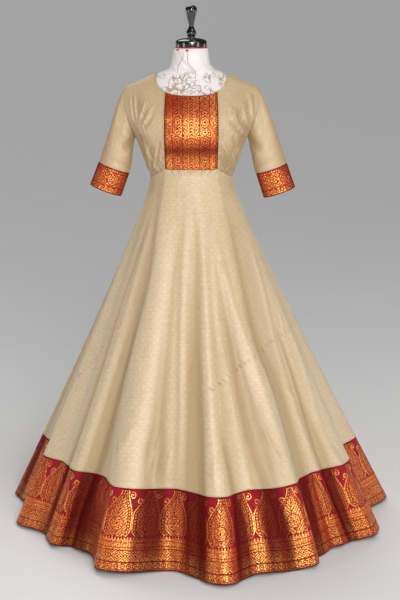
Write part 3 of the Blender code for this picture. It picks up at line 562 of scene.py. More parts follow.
def yoke_edge(t):
    """Edge of the yoke panel, then neckline, as distance from the middle and height."""
    up = np.clip(t / YOKE_TOP_AT, 0.0, 1.0)
    over = np.clip((t - YOKE_TOP_AT) / (1 - YOKE_TOP_AT), 0.0, 1.0)
    corner_z = neckline(YOKE_HALF)
    panel_z = EMPIRE_FRONT_Z + (corner_z - EMPIRE_FRONT_Z) * up
    panel_x = YOKE_HALF + YOKE_SWELL * np.sin(math.pi * up)
    neck_z = NECK_POINT_Z - (NECK_POINT_Z - corner_z) * (1 - over) ** 2
    below = t <= YOKE_TOP_AT
    return np.where(below, panel_x, neckline_reach(neck_z)), np.where(below, panel_z, neck_z)


def bodice_rows(count):
    """Levels of a bodice piece from empire seam to shoulder, with rows on its corners."""
    low = np.linspace(0.0, ARMPIT_AT, int(count * ARMPIT_AT) + 1)
    middle = np.linspace(ARMPIT_AT, YOKE_TOP_AT, int(count * (YOKE_TOP_AT - ARMPIT_AT)) + 1)
    top = np.linspace(YOKE_TOP_AT, 1.0, int(count * (1 - YOKE_TOP_AT)) + 1)
    return np.concatenate((low, middle[1:], top[1:]))


def edge(x, z):
    """An edge drawn as distance and height, turned into angle round the body and height."""
    x, z = np.broadcast_arrays(np.asarray(x, float), np.asarray(z, float))
    angle = np.arcsin(np.clip(x / section(BODY_SECTIONS, z, 1), -1.0, 1.0))
    return np.stack((angle, z), axis=-1)


def on_body(angle, z, side):
    """Point of the body's surface at this angle from the middle of the front or back."""
    x = section(BODY_SECTIONS, z, 1) * np.sin(angle)
    facing = -1.0 if side == 2 else 1.0
    y = facing * (body_depth(x, z, side) + SEAM_GAP / 2)
    return np.stack((x, y, z), axis=-1)


def patch(low, high, first, last, t, s, side):
    """Body surface inside four edges: a Coons patch of their angles and heights, which is the
    sum of the two straight blends between opposite edges less the blend of the corners."""
    s = s[None, :, None]
    t = t[:, None, None]
    across = first[:, None] * (1 - s) + last[:, None] * s
    up = low[None] * (1 - t) + high[None] * t
    corners = (low[0] * (1 - s) + low[-1] * s) * (1 - t) + (high[0] * (1 - s) + high[-1] * s) * t
    grid = across + up - corners
    return on_body(grid[..., 0], grid[..., 1], side)


def front_side_grid(rows, columns):
    """Front bodice piece on the +X side: rows up, columns from yoke panel to side seam."""
    t = bodice_rows(rows)
    s = steps(0.0, 1.0, columns, (0.0, 0.04, 2.0), (1.0, 0.04, 2.0))
    in_x, in_z = yoke_edge(t)
    first = edge(in_x + SEAM_GAP * (t <= YOKE_TOP_AT), in_z)
    last = edge(*outer_edge(t))
    angle = first[0, 0] + (last[0, 0] - first[0, 0]) * s
    low = np.stack((angle, seam_height(angle, 1.0)), axis=-1)
    shoulder_x = NECK_POINT_X + (SHOULDER_END_X - NECK_POINT_X) * s
    high = edge(shoulder_x, shoulder_line(shoulder_x))
    return patch(low, high, first, last, t, s, 2)


def yoke_grid(rows, columns):
    """Yoke panel: rows up to the neckline, columns from -X to +X."""
    t = bodice_rows(rows)
    t = t[t <= YOKE_TOP_AT + 1e-9]
    s = np.linspace(0.0, 1.0, columns + 1)
    half, z = yoke_edge(t)
    x = YOKE_HALF * (2 * s - 1)
    low = edge(x, EMPIRE_FRONT_Z)
    high = edge(x, neckline(x))
    return patch(low, high, edge(-half, z), edge(half, z), t / YOKE_TOP_AT, s, 2)


def back_grid(rows, neck_columns, shoulder_columns):
    """Back bodice piece: rows up, columns from +X to -X so that its faces look out."""
    t = bodice_rows(rows)
    turn = np.linspace(math.pi / 2, 0.0, neck_columns + 1)
    neck_x = NECK_POINT_X * np.cos(turn)
    shoulder_x = np.linspace(NECK_POINT_X, SHOULDER_END_X, shoulder_columns + 1)[1:]
    neck = edge(neck_x, back_neckline(neck_x))
    half = np.concatenate((neck, edge(shoulder_x, shoulder_line(shoulder_x))))
    mirror = np.array([-1.0, 1.0])
    high = np.concatenate((half[::-1], half[1:] * mirror))
    s = (1 - high[:, 0] / high[0, 0]) / 2
    last = edge(*outer_edge(t))
    low = np.stack((last[0, 0] * (1 - 2 * s), np.full(s.shape, EMPIRE_SIDE_Z)), axis=-1)
    return patch(low, high, last, last * mirror, t, s, 3)


# ---------------- sleeves and cuffs


def armhole_loop(rows):
    """The armhole's edge on the +X side as a closed ring: shoulder, front, armpit, back."""
    t = bodice_rows(rows)
    t = t[t >= ARMPIT_AT - 1e-9][::-1]
    angle, z = edge(*outer_edge(t)).T
    front = on_body(angle, z, 2)
    back = on_body(angle, z, 3)
    return np.concatenate((front, back[::-1][1:-1]))


def sleeve_frame(seam_x, seam_z, end_x, end_z):
    """A sleeve's axis at the cuff, and the direction across it that points out and up."""
    axis = np.array([end_x - seam_x, 0.0, end_z - seam_z])
    axis = axis / np.linalg.norm(axis)
    return axis, np.array([-axis[2], 0.0, axis[0]])


def cuff_ring(centre, outward, scale, count):
    """Ellipse square to the sleeve: cos(turn) outward and sin(turn) forward."""
    turn = full_turn(count)[:, None]
    out = np.cos(turn) * outward * SLEEVE_HALF_WIDE
    forward = np.sin(turn) * np.array([0.0, -1.0, 0.0]) * SLEEVE_HALF_DEEP
    return centre + (out + forward) * scale


def sleeve_grid(row, hole_rows, rows):
    """Sleeve on the +X side: cubic Hermite curves from the armhole's edge to the ring at the
    cuff. They leave the shoulder along its slope and arrive along the arm."""
    _, _, seam_x, seam_z, end_x, end_z = row
    axis, outward = sleeve_frame(seam_x, seam_z, end_x, end_z)
    start = armhole_loop(hole_rows)
    end = cuff_ring(np.array([seam_x, 0.0, seam_z]), outward, 1.0, len(start))
    slope = np.array([1.0, 0.0, -SHOULDER_SLOPE]) / math.hypot(1.0, SHOULDER_SLOPE)
    turn = full_turn(len(start))[:, None]
    top = np.clip(np.cos(turn), 0.0, 1.0)
    leave = axis + (slope - axis) * top
    leave = leave / np.linalg.norm(leave, axis=1, keepdims=True)
    length = np.linalg.norm(end - start, axis=1, keepdims=True)
    turn_length = length * (1.0 - (1.0 - SHOULDER_TURN) * top)
    start = start + leave * SEAM_GAP
    end = end - axis * SEAM_GAP
    w = steps(0.0, 1.0, rows, (0.0, 0.03, 2.0), (1.0, 0.03, 2.0))[:, None, None]
    ease = w * w * (3 - 2 * w)
    lead = w * (1 - w) ** 2
    trail = w * w * (w - 1)
    return start + (end - start) * ease + leave * turn_length * lead + axis * length * trail


def cuff_grid(row, rows, columns):
    """Cuff on the +X side: the sleeve's last ring carried along the arm, a little wider."""
    _, _, seam_x, seam_z, end_x, end_z = row
    _, outward = sleeve_frame(seam_x, seam_z, end_x, end_z)
    first = cuff_ring(np.array([seam_x, 0.0, seam_z]), outward, 1.0, columns)
    last = cuff_ring(np.array([end_x, 0.0, end_z]), outward, CUFF_FLARE, columns)
    w = np.linspace(0.0, 1.0, rows + 1)[:, None, None]
    return first + (last - first) * w


# ---------------- the skirt's surface


def fold_offset(angle):
    """How far the hem stands out from its mean radius at this angle: level at each crest and
    valley of the table, and eased between them."""
    at = np.degrees(angle)
    knots = np.stack((SKIRT_FOLDS[:, :2], SKIRT_FOLDS[:, 2:]), axis=1).reshape(-1, 2)
    knots = np.vstack((knots, knots[0] + (360.0, 0.0)))
    at = (at - knots[0, 0]) % 360.0 + knots[0, 0]
    i = np.clip(np.searchsorted(knots[:, 0], at, side="right") - 1, 0, len(knots) - 2)
    q = (at - knots[i, 0]) / (knots[i + 1, 0] - knots[i, 0])
    return knots[i, 1] + (knots[i + 1, 1] - knots[i, 1]) * smoothstep(q) - HEM_RADIUS


def skirt_point(angle, v):
    """Point of the skirt at this angle, v from 0 at the empire seam to 1 at the hem: the body's
    section blended into a circle, with the folds growing as a power of v."""
    front = (np.cos(angle) > 0) * 1.0
    top = seam_height(angle, front)
    half = section(BODY_SECTIONS, top, 1)
    depth = np.where(front > 0, section(BODY_SECTIONS, top, 2), section(BODY_SECTIONS, top, 3))
    waist = np.stack((half * np.sin(angle), -depth * np.cos(angle), top), axis=-1)
    out = np.stack((np.sin(angle), -np.cos(angle), np.zeros_like(angle)), axis=-1)
    hem = out * HEM_RADIUS + HEM_MIDDLE
    soft = math.hypot(1.0, FLARE_START) - FLARE_START
    flare = (np.hypot(v, FLARE_START) - FLARE_START) / soft
    share = np.stack((flare, flare, v), axis=-1)
    fold = fold_offset(angle) * v ** FOLD_GROWTH
    return waist + (hem - waist) * share + out * fold[..., None]


def laid_flat(angle, v):
    """Where a point of the skirt lies when its cone is rolled out: polar coordinates about the
    apex, with the slope distance as radius and the angle shrunk by the cone's turn."""
    reach = APEX + SKIRT_SLOPE * np.asarray(v, float)
    turn = np.asarray(angle, float) * CONE_TURN
    return reach * np.sin(turn), reach * np.cos(turn)


def border_start():
    """Share of the skirt's height at which the border begins."""
    return 1.0 - BORDER_DEPTH / SKIRT_SLOPE


def skirt_span(half):
    """The front or back half's two side seams, in radians."""
    right, left = SIDE_SEAMS
    ends = (right, left) if half == "front" else (left, right + 360.0)
    return np.radians(ends)


# ---------------- creases


def creases(x, y, table):
    """Height of soft creases over a plane. Each is depth x exp(-(across / width)^2) about a line
    from one end to the other, which bows sideways as a parabola and fades at both ends."""
    height = np.zeros(np.shape(x))
    for x0, y0, x1, y1, width0, width1, depth, bow in table:
        length = math.hypot(x1 - x0, y1 - y0)
        to_x = (x1 - x0) / length
        to_y = (y1 - y0) / length
        along = ((x - x0) * to_x + (y - y0) * to_y) / length
        inside = np.clip(along, 0.0, 1.0)
        across = (x - x0) * to_y - (y - y0) * to_x - bow * 4 * inside * (1 - inside)
        width = width0 + (width1 - width0) * inside
        fade = smoothstep(along / CREASE_FADE) * smoothstep((1 - along) / CREASE_FADE)
        height += depth * bell(across / width) * fade
    return height


def even_width(table):
    """Rows whose crease keeps one width, with that width given for both ends."""
    return [row[:5] + row[4:] for row in table]


def flat_rows(table):
    """Rows placed by angle and share of the way down, moved onto the plane of the flat skirt."""
    rows = []
    for angle0, v0, angle1, v1, width0, width1, depth in table:
        x0, y0 = laid_flat(math.radians(angle0), v0)
        x1, y1 = laid_flat(math.radians(angle1), v1)
        rows.append((x0, y0, x1, y1, width0, width1, depth, 0.0))
    return rows


def skirt_creases(angle, v, sizes):
    """Small creases of the skirt, as a height over its surface."""
    x, y = laid_flat(angle, v)
    return creases(x, y, flat_rows(SMALL_PUCKERS)) * sizes.crease_depth


def wandering(rows, angle, v):
    """A line that wanders down the skirt: how far each point lies from it along an arc of the
    skirt's mean radius, and its width and depth there. The depth fades in from the line's start."""
    line = smooth_run(rows, LINE_STEPS)
    middle, width, depth = (np.interp(v, line[:, 0], line[:, i]) for i in (1, 2, 3))
    radius = FLUTE_WAIST + (HEM_RADIUS - FLUTE_WAIST) * v
    depth = depth * smoothstep((v - rows[0][0]) / FLUTE_START)
    return (angle - np.radians(middle)) * radius, width, depth


def flutes(angle, v, sizes):
    """Height of the skirt's flutes, and the shade painted on each point, from 0 to 1, in troughs and
    hollows. Both are depth x exp(-(across / width)^2) about a line that wanders down the skirt."""
    height = np.zeros(angle.shape)
    shade = np.zeros(angle.shape)
    for rows in SKIRT_FLUTES:
        across, width, depth = wandering(rows, angle, v)
        width = width + FLUTE_SOFTENING * (1.0 - v) ** 3
        height += depth * bell(across / width)
        deep = depth / FLUTE_SHADE_DEPTH * smoothstep((OPEN_TROUGH - width) / OPENING)
        shade -= deep * bell(across / width / FLUTE_SHADE_WIDTH)
    kept = WAIST_SHADE + (1.0 - WAIST_SHADE) * smoothstep(v / FULL_SHADE_AT)
    shade = np.maximum(shade, 0.0) * kept
    for rows in SKIRT_PAINTED_SHADE:
        across, width, depth = wandering(rows, angle, v)
        shade += depth * bell(across / width)
    return height * sizes.fold_depth, np.clip(shade, 0.0, 1.0)


# ---------------- grids and meshes


def grid_normals(points, closed=False):
    """Outward unit normals of a grid: the step along the columns crossed with the step up the
    rows, each taken as a central difference."""
    up = np.gradient(points, axis=0)
    if closed:
        along = np.roll(points, -1, axis=1) - np.roll(points, 1, axis=1)
    else:
        along = np.gradient(points, axis=1)
    normal = np.cross(along, up)
    return normal / np.maximum(np.linalg.norm(normal, axis=-1, keepdims=True), 1e-12)


def raised(points, height, closed=False):
    """The grid with each point moved outwards by its height."""
    return points + grid_normals(points, closed) * height[..., None]


def run_along(points, axis):
    """Length of cloth from the grid's first edge, along its rows (1) or columns (0)."""
    step = np.linalg.norm(np.diff(points, axis=axis), axis=-1)
    start = np.zeros_like(np.take(step, [0], axis=axis))
    return np.concatenate((start, np.cumsum(step, axis=axis)), axis=axis)


def edge_profile(points, first=0.0, last=0.0, low=0.0, high=0.0):
    """Height added along a grid's four edges: each height x exp(-(distance / width)^2). A turned
    edge stands up and a sewn one sinks."""
    along = run_along(points, 1)
    up = run_along(points, 0)
    edges = ((first, along), (last, along[:, -1:] - along), (low, up), (high, up[-1:] - up))
    height = np.zeros(along.shape)
    for size, distance in edges:
        width = FOLDED_WIDTH if size > 0 else SEWN_WIDTH
        height += size * bell(distance / width)
    return height


def mirrored(points):
    """The same grid on the other side, with its columns turned so that faces still look out."""
    return points[:, ::-1] * np.array([-1.0, 1.0, 1.0])


def grid_mesh(name, points, uv=None, hollow=None, closed=False):
    """Mesh over a grid of points. uv gives each corner its place on the weave in metres, with one more
    column than points where the grid is closed; the last argument gives the shade painted at each
    point, from 0 to 1."""
    rows, columns = points.shape[:2]
    i = np.arange(rows - 1)[:, None]
    j = np.arange(columns if closed else columns - 1)[None, :]
    k = (j + 1) % columns
    corners = ((i, j), (i, k), (i + 1, k), (i + 1, j))
    faces = np.stack([a * columns + b for a, b in corners], axis=-1).reshape(-1, 4)
    mesh = bpy.data.meshes.new(name)
    mesh.from_pydata(points.reshape(-1, 3), [], faces)
    mesh.shade_smooth()
    if uv is not None:
        places = ((i, j), (i, j + 1), (i + 1, j + 1), (i + 1, j))
        corner_uv = np.stack([uv[a, b] for a, b in places], axis=2)
        layer = mesh.uv_layers.new(name="weave")
        layer.data.foreach_set("uv", corner_uv.astype(np.float32).ravel())
    if hollow is not None:
        # painted shade, stored at each point for the shaders
        deep = mesh.attributes.new("hollow", "FLOAT", "POINT")
        deep.data.foreach_set("value", np.clip(hollow, 0.0, 1.0).astype(np.float32).ravel())
    return mesh


def add_object(name, data):
    """Puts a new object in the scene."""
    obj = bpy.data.objects.new(name, data)
    bpy.context.scene.collection.objects.link(obj)
    return obj


def add_piece(name, mesh, material, node):
    """Adds a piece that stands for a CAD node and rides with the gown."""
    obj = add_object(name, mesh)
    mesh.materials.append(material)
    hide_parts(node)
    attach(obj, "root")
    return obj


def add_cloth(name, mesh, material, slot):
    obj = add_piece(name + "_cloth", mesh, material, name)
    shell = obj.modifiers.new("wall", "SOLIDIFY")
    shell.thickness = WALLS[slot]
    shell.offset = -1.0


def smooth_run(points, count):
    """A Catmull-Rom curve through a few points, with count steps between each pair."""
    points = np.asarray(points, float)
    padded = np.vstack((2 * points[0] - points[1], points, 2 * points[-1] - points[-2]))
    q = np.linspace(0.0, 1.0, count, endpoint=False)[None, :, None]
    a, b, c, d = (padded[i:len(padded) - 3 + i, None] for i in range(4))
    curve = b + (c - a) * q / 2 + (2 * a - 5 * b + 4 * c - d) * q**2 / 2
    curve = curve + (3 * b - a - 3 * c + d) * q**3 / 2
    return np.vstack((curve.reshape(-1, points.shape[1]), points[-1]))


def lathe_mesh(name, profile, foot, turns, sharp_angle):
    """A profile of radius and height, from bottom to top, carried round the +Z axis: x is
    radius x sin(turn), y is -radius x cos(turn). Its ends on the axis are merged to poles."""
    turn = full_turn(turns)[None, :]
    radius = profile[:, :1]
    height = profile[:, 1:] + foot + 0.0 * turn
    points = np.stack((radius * np.sin(turn), -radius * np.cos(turn), height), axis=-1)
    mesh = grid_mesh(name, points, closed=True)
    close_poles(mesh)
    mesh.set_sharp_from_angle(angle=math.radians(sharp_angle))
    return mesh


# ---------------- shader maths


class Number:
    """A number that a material's nodes work out. Arithmetic on it adds Math nodes."""

    def __init__(self, finish, output):
        self.finish = finish
        self.output = output

    def math(self, operation, *others):
        """A Math node's result for this number and the others."""
        return self.finish.node("ShaderNodeMath", {"operation": operation}, (self, *others))

    def __add__(self, other):
        return self.math("ADD", other)

    def __sub__(self, other):
        return self.math("SUBTRACT", other)

    def __mul__(self, other):
        return self.math("MULTIPLY", other)

    def __pow__(self, other):
        return self.math("POWER", other)

    def __rsub__(self, other):
        return self.finish.node("ShaderNodeMath", {"operation": "SUBTRACT"}, (other, self))

    def __abs__(self):
        return self.math("ABSOLUTE")

    __radd__ = __add__

    def near(self, period):
        """Distance to the nearest whole multiple of the period."""
        return self.math("PINGPONG", period / 2)

    def within(self, half, soft=0.0004):
        """1 where the number is smaller than half, 0 past it, with a soft edge."""
        return self.finish.node(
            "ShaderNodeMapRange",
            {"interpolation_type": "SMOOTHSTEP"},
            (self, half - soft, half + soft, 1.0, 0.0),
        )

    def stroke(self, half, soft=0.0004):
        """1 along a line of this half width where the number is 0."""
        return abs(self).within(half, soft)

    def between(self, low, high):
        """1 from low to high and 0 outside."""
        return self.math("GREATER_THAN", low) * self.math("LESS_THAN", high)


class Finish:
    """A material: its Principled shader and the nodes that feed it."""

    def __init__(self, name, constants):
        self.material = bpy.data.materials.new(name)
        self.material.use_nodes = True
        self.tree = self.material.node_tree
        self.shader = self.tree.nodes["Principled BSDF"]
        self.feed(constants)

    def node(self, kind, settings=(), values=(), output=0):
        """Adds a node of any kind. Its settings come first, and then the value or link of each
        socket, by number or name."""
        node = self.tree.nodes.new(kind)
        for key, value in dict(settings).items():
            setattr(node, key, value)
        pairs = values.items() if isinstance(values, dict) else enumerate(values)
        for key, value in pairs:
            self.join(value, node.inputs[key])
        return Number(self, node.outputs[output])

    def join(self, value, socket):
        """Links a Number to a socket, or sets a plain value on it."""
        if isinstance(value, Number):
            self.tree.links.new(value.output, socket)
        elif socket.type == "RGBA" and len(value) == 3:
            socket.default_value = (*value, 1.0)
        else:
            socket.default_value = value

    def feed(self, sockets):
        """Values or links for the shader's own sockets, by name."""
        for name, value in sockets.items():
            self.join(value, self.shader.inputs[name])

    def mix(self, factor, first, second):
        """Blend of two colours."""
        values = {0: factor, 6: first, 7: second}
        return self.node("ShaderNodeMix", {"data_type": "RGBA"}, values, 2)

    def weave(self):
        """Place on the cloth: u along it and v up it, in metres."""
        uv = self.node("ShaderNodeUVMap", {"uv_map": "weave"})
        return [self.node("ShaderNodeSeparateXYZ", (), (uv,), i) for i in (0, 1)]

    def frayed_weave(self):
        """Place on the cloth, pushed about a little so that woven outlines are uneven."""
        u, v = self.weave()
        push = self.noise(u * 900.0, v * 900.0, 0.0, 1.0)
        pull = self.noise(u * 900.0, v * 900.0, 7.0, 1.0)
        return u + (push - 0.5) * 0.0026, v + (pull - 0.5) * 0.0026

    def place(self):
        """Place in the gown's own frame: x, y and z in metres."""
        point = self.node("ShaderNodeTexCoord", (), (), 3)
        return [self.node("ShaderNodeSeparateXYZ", (), (point,), i) for i in range(3)]

    def attribute(self, name):
        """A number that the mesh holds at each point."""
        return self.node("ShaderNodeAttribute", {"attribute_name": name}, (), 2)

    def noise(self, x, y, z, detail=2.0):
        """Smooth noise, about 0.5 on average, of a point given by its three numbers."""
        point = self.node("ShaderNodeCombineXYZ", (), (x, y, z))
        return self.node("ShaderNodeTexNoise", (), {"Vector": point, "Scale": 1.0, "Detail": detail})

    def bump(self, height, distance):
        """Relief from a height of 0 to 1 that stands this many metres proud."""
        values = {"Height": height, "Distance": distance, "Strength": 1.0}
        normal = self.node("ShaderNodeBump", (), values)
        self.feed({"Normal": normal})
        return normal

    def cover_with(self, share, sockets):
        """Lays a second Principled shader over the first, by this share of each point."""
        under = Number(self, self.shader.outputs[0])
        over = self.node("ShaderNodeBsdfPrincipled", (), sockets)
        both = self.node("ShaderNodeMixShader", (), (share, under, over))
        self.join(both, self.tree.nodes["Material Output"].inputs["Surface"])


def hypot(x, y):
    """Length of the vector (x, y)."""
    return (x * x + y * y).math("SQRT")


def union(first, *others):
    """Where any of the masks is set."""
    for mask in others:
        first = first.math("MAXIMUM", mask)
    return first


def ring(x, y, radius, half):
    """A circle's outline of this half width."""
    return (hypot(x, y) - radius).stroke(half)


def spiral(x, y, radius, pitch, half, turn):
    """A scroll: the line where the radius less pitch x angle / 2 pi is a whole number of pitches,
    inside the given radius. turn 1 winds one way and -1 the other."""
    reach = hypot(x, y)
    angle = y.math("ARCTAN2", x) * (turn * pitch / (2 * math.pi))
    return (reach - angle).near(pitch).within(half) * reach.within(radius)


def diamond(x, y, half_x, half_y):
    """0 in the middle of a diamond and 1 on its outline: |x| / half x + |y| / half y."""
    return abs(x) * (1 / half_x) + abs(y) * (1 / half_y)


def wrapped(u, place, period):
    """Signed distance from the nearest repeat of a motif that stands at this place."""
    return (u - place).math("WRAP", period / 2, -period / 2)


# ---------------- woven patterns

# Hem border: each band's lower and upper edge, in metres above the hem.
SELVEDGE = (0.0, 0.0055)
CHAIN_BAND = (0.0055, 0.0260)
DIAMOND_BAND = (0.0260, 0.0600)
RIBBED_BAND = (0.0600, 0.0860)
TEETH_BAND = (0.0860, 0.0960)
PAISLEY_BAND = (0.0960, 0.2225)
TEETH_REPEAT = 0.0088
CHAIN_REPEAT = 0.0165
DIAMOND_REPEAT = 0.0330
RIB_REPEAT = 0.0070
LINE = 0.0011               # half width of a woven outline
ZARI_RELIEF = 0.0010
FULLER_TOP = 0.042          # the gold is fuller, and its painted shade weaker, below this height
FULLER_FADE = 0.030


def paisley_mask(u, v, repeat):
    """Gold of the paisley band, and where its bodies are. Bodies touch up to the notch, and then
    each narrows to a neck 0.30 of the repeat wide that leans right: its left edge goes in by 0.50
    of the repeat and its right edge by 0.20, both as 3 r^2 - 2 r^3 of the rise r. Echoed outlines,
    a flower in the belly and leaves from the spine fill it. Two scrolls stand beside its neck."""
    height = PAISLEY_BAND[1] - PAISLEY_BAND[0]
    y = v - PAISLEY_BAND[0]
    notch = 0.056
    rise = ((y - notch) * (1 / (height - notch))).math("MAXIMUM", 0.0).math("MINIMUM", 1.0)
    drawn_in = rise * rise * (3.0 - rise * 2.0)
    left = drawn_in * (0.50 * repeat)
    right = (1.0 - drawn_in * 0.20) * repeat
    place = u.math("WRAP", repeat, 0.0)
    corner = (1.0 - y * (1 / 0.022)).math("MAXIMUM", 0.0) ** 2.0 * 0.012
    inward = ((place - left) * 0.78).math("MINIMUM", (right - place) * 0.92) - corner
    body = (0.0 - inward).within(0.0)
    spine = (left + right) * 0.5
    across = abs(place - spine)
    rim = (inward - 0.0046).stroke(LINE)
    second = (inward - 0.0112).stroke(LINE * 0.9)
    beads = hypot(inward - 0.0079, v.near(0.0080)).within(0.0017)
    leaves = (v - across * 1.1).near(0.0105).within(0.0012) * inward.math("GREATER_THAN", 0.0120)
    leaves = union(leaves, across.within(0.0011))
    belly_x = place - repeat / 2
    belly_y = y - 0.0350
    belly = hypot(belly_x, belly_y)
    petals = (belly_y.math("ARCTAN2", belly_x) * 6.0).math("COSINE") * 0.0032 + 0.0105
    flower = union((belly - petals).stroke(LINE), (belly - 0.0190).stroke(LINE))
    flower = union(flower, belly.within(0.0032))
    leaves = leaves * (1 - belly.within(0.0206)) + flower
    outline = inward.within(0.0040) * 0.5 + 0.85
    paisley = body * (1 - union(rim, second, beads, leaves)) * outline
    gap = wrapped(u, 0.0, repeat)
    scroll = spiral(gap - 0.0185, y - 0.0960, 0.0125, 0.0098, 0.0024, -1.0)
    hook = spiral(gap + 0.0065, y - 0.1130, 0.0105, 0.0088, 0.0022, 1.0)
    return paisley + union(scroll, hook) * (1 - body) * 1.3, body


def border_mask(finish, repeat):
    """Gold of the whole hem border, band by band from the selvedge up, and its open ground."""
    u, v = finish.frayed_weave()
    scallop = (u * (math.pi / TEETH_REPEAT)).math("SINE")
    selvedge = (abs(scallop) * 0.0030 + 0.0010 - v).within(0.0) * 0.8
    chain_y = v - (CHAIN_BAND[0] + CHAIN_BAND[1]) / 2
    chain_x = wrapped(u, 0.0, CHAIN_REPEAT)
    links = union(ring(chain_x, chain_y, 0.0058, LINE), hypot(chain_x, chain_y).within(0.0018))
    chain = 1 - union(links, (abs(chain_y) - 0.0088).stroke(LINE * 0.8))
    diamond_y = v - (DIAMOND_BAND[0] + DIAMOND_BAND[1]) / 2
    shape = diamond(wrapped(u, 0.0, DIAMOND_REPEAT), diamond_y, 0.0165, 0.0150)
    corner_x = wrapped(u, DIAMOND_REPEAT / 2, DIAMOND_REPEAT)
    corner = diamond(corner_x, abs(diamond_y) - 0.015, 0.009, 0.009)
    dark = union((shape - 1.0).stroke(0.075), (shape - 0.58).stroke(0.07), shape.within(0.20))
    dark = union(dark, (corner - 0.75).stroke(0.12))
    diamonds = 1 - union(dark, (abs(diamond_y) - 0.0160).stroke(LINE))
    ribs = 1 - u.near(RIB_REPEAT).within(0.0008) * 0.55
    ribs = ribs * (1 - (v - 0.0665).stroke(LINE * 0.7)) * (1 - (v - 0.0800).stroke(LINE * 0.7))
    tooth = u.near(TEETH_REPEAT) * (2 / TEETH_REPEAT)
    rise = (v - TEETH_BAND[0]) * (1 / (TEETH_BAND[1] - TEETH_BAND[0]))
    teeth = (rise - tooth * 1.1).within(0.0, 0.06)
    paisley, body = paisley_mask(u, v, repeat)
    bands = (
        (SELVEDGE, selvedge),
        (CHAIN_BAND, chain),
        (DIAMOND_BAND, diamonds),
        (RIBBED_BAND, ribs),
        (TEETH_BAND, teeth),
        (PAISLEY_BAND, paisley),
    )
    gold = bands[0][1] * v.between(-1.0, SELVEDGE[1])
    for (low, high), mask in bands[1:]:
        gold = gold + mask * v.between(low, high)
    return gold, (1 - body) * v.math("GREATER_THAN", TEETH_BAND[0]), u, v


# Yoke: lines that run up it, at these distances from the middle.
YOKE_INNER_LINE = 0.0110
YOKE_VINE_LINE = 0.0245
YOKE_MEDALLION_LINE = 0.0550
YOKE_EDGE_LINE = 0.0735
MEDALLION_REPEAT = 0.0560


def yoke_mask(finish):
    """Gold of the yoke panel: columns mirrored about its middle, with chevrons, a vine, oval
    medallions, an outer vine and teeth along both edges."""
    u, v = finish.frayed_weave()
    s = abs(u)
    lines = union(
        (s - YOKE_INNER_LINE).stroke(LINE * 0.5),
        (s - YOKE_VINE_LINE).stroke(LINE),
        (s - YOKE_MEDALLION_LINE).stroke(LINE * 0.9),
        (s - YOKE_EDGE_LINE).stroke(LINE * 0.8),
    )
    chevron = (v + s * 0.9).near(0.0090).within(0.0015) * s.within(0.0062)
    vine_bend = (v * (2 * math.pi / 0.028)).math("SINE") * 0.0034
    inner = (s - 0.0178 - vine_bend).stroke(LINE * 0.7)
    buds = hypot((s - 0.0178 + vine_bend), (v - 0.0070).near(0.0140)).within(0.0020)
    oval_x = s - 0.0400
    oval_y = wrapped(v, 0.030, MEDALLION_REPEAT)
    oval = hypot(oval_x * (1 / 0.0125), oval_y * (1 / 0.0165))
    rings = union((oval - 1.0).stroke(0.065), (oval - 0.62).stroke(0.06), oval.within(0.22))
    leaf = diamond(oval_x, wrapped(v, 0.002, MEDALLION_REPEAT), 0.0110, 0.0095)
    leaves = union((leaf - 1.0).stroke(0.11), leaf.within(0.35))
    hatch = (v + s * 0.8).near(0.0074).within(0.0010) * (1 - oval.within(1.12, 0.02))
    hatch = hatch * (1 - leaf.within(1.15, 0.02)) * s.between(YOKE_VINE_LINE, YOKE_MEDALLION_LINE)
    outer_bend = (v * (2 * math.pi / 0.022)).math("SINE") * 0.0040
    outer = (s - 0.0640 - outer_bend).stroke(LINE * 0.7)
    tooth = v.near(TEETH_REPEAT * 0.8) * (2 / (TEETH_REPEAT * 0.8))
    teeth = (tooth * 0.0060 + YOKE_EDGE_LINE + 0.0008 - s).within(0.0)
    dark = union(lines, chevron, inner, buds, rings, leaves, hatch * 0.7, outer, teeth)
    return 1 - dark, 0.30, u, v


# Cuff, from its open end up.
CUFF_DEPTH = 0.0740
CUFF_MEDALLION_REPEAT = 0.0440


def cuff_mask(finish):
    """Gold of a cuff: a selvedge and chain at the open end, round medallions, and teeth under
    the seam."""
    u, v = finish.frayed_weave()
    selvedge = v.within(0.0035)
    chain_x = wrapped(u, 0.0, CHAIN_REPEAT)
    chain_y = v - 0.0120
    chain = union(ring(chain_x, chain_y, 0.0052, LINE), hypot(chain_x, chain_y).within(0.0016))
    chain = chain * v.between(0.0045, 0.0195)
    lines = union((v - 0.0195).stroke(LINE), (v - 0.0225).stroke(LINE * 0.6))
    lines = union(lines, (v - 0.0640).stroke(LINE * 0.9))
    round_x = wrapped(u, 0.0, CUFF_MEDALLION_REPEAT)
    round_y = v - 0.0430
    reach = hypot(round_x, round_y)
    lobes = (round_y.math("ARCTAN2", round_x) * 8.0).math("COSINE") * 0.0020
    rings = union((reach - 0.0175).stroke(LINE), (reach - lobes - 0.0115).stroke(LINE))
    rings = union(rings, (reach - 0.0055).stroke(LINE * 0.8))
    side_x = wrapped(u, CUFF_MEDALLION_REPEAT / 2, CUFF_MEDALLION_REPEAT)
    side = diamond(side_x, abs(round_y) - 0.0130, 0.0080, 0.0085)
    gaps = union((side - 1.0).stroke(0.14), side.within(0.30)) * (1 - reach.within(0.0190))
    tooth = u.near(TEETH_REPEAT * 0.85) * (2 / (TEETH_REPEAT * 0.85))
    teeth = ((v - 0.0650) * (1 / 0.0080) - tooth * 0.9).within(0.0, 0.06)
    teeth = (1 - teeth) * v.math("GREATER_THAN", 0.0650)
    middle = (rings + gaps) * v.between(0.0235, 0.0630)
    return 1 - union(selvedge, chain, lines, middle, teeth), 0.30, u, v


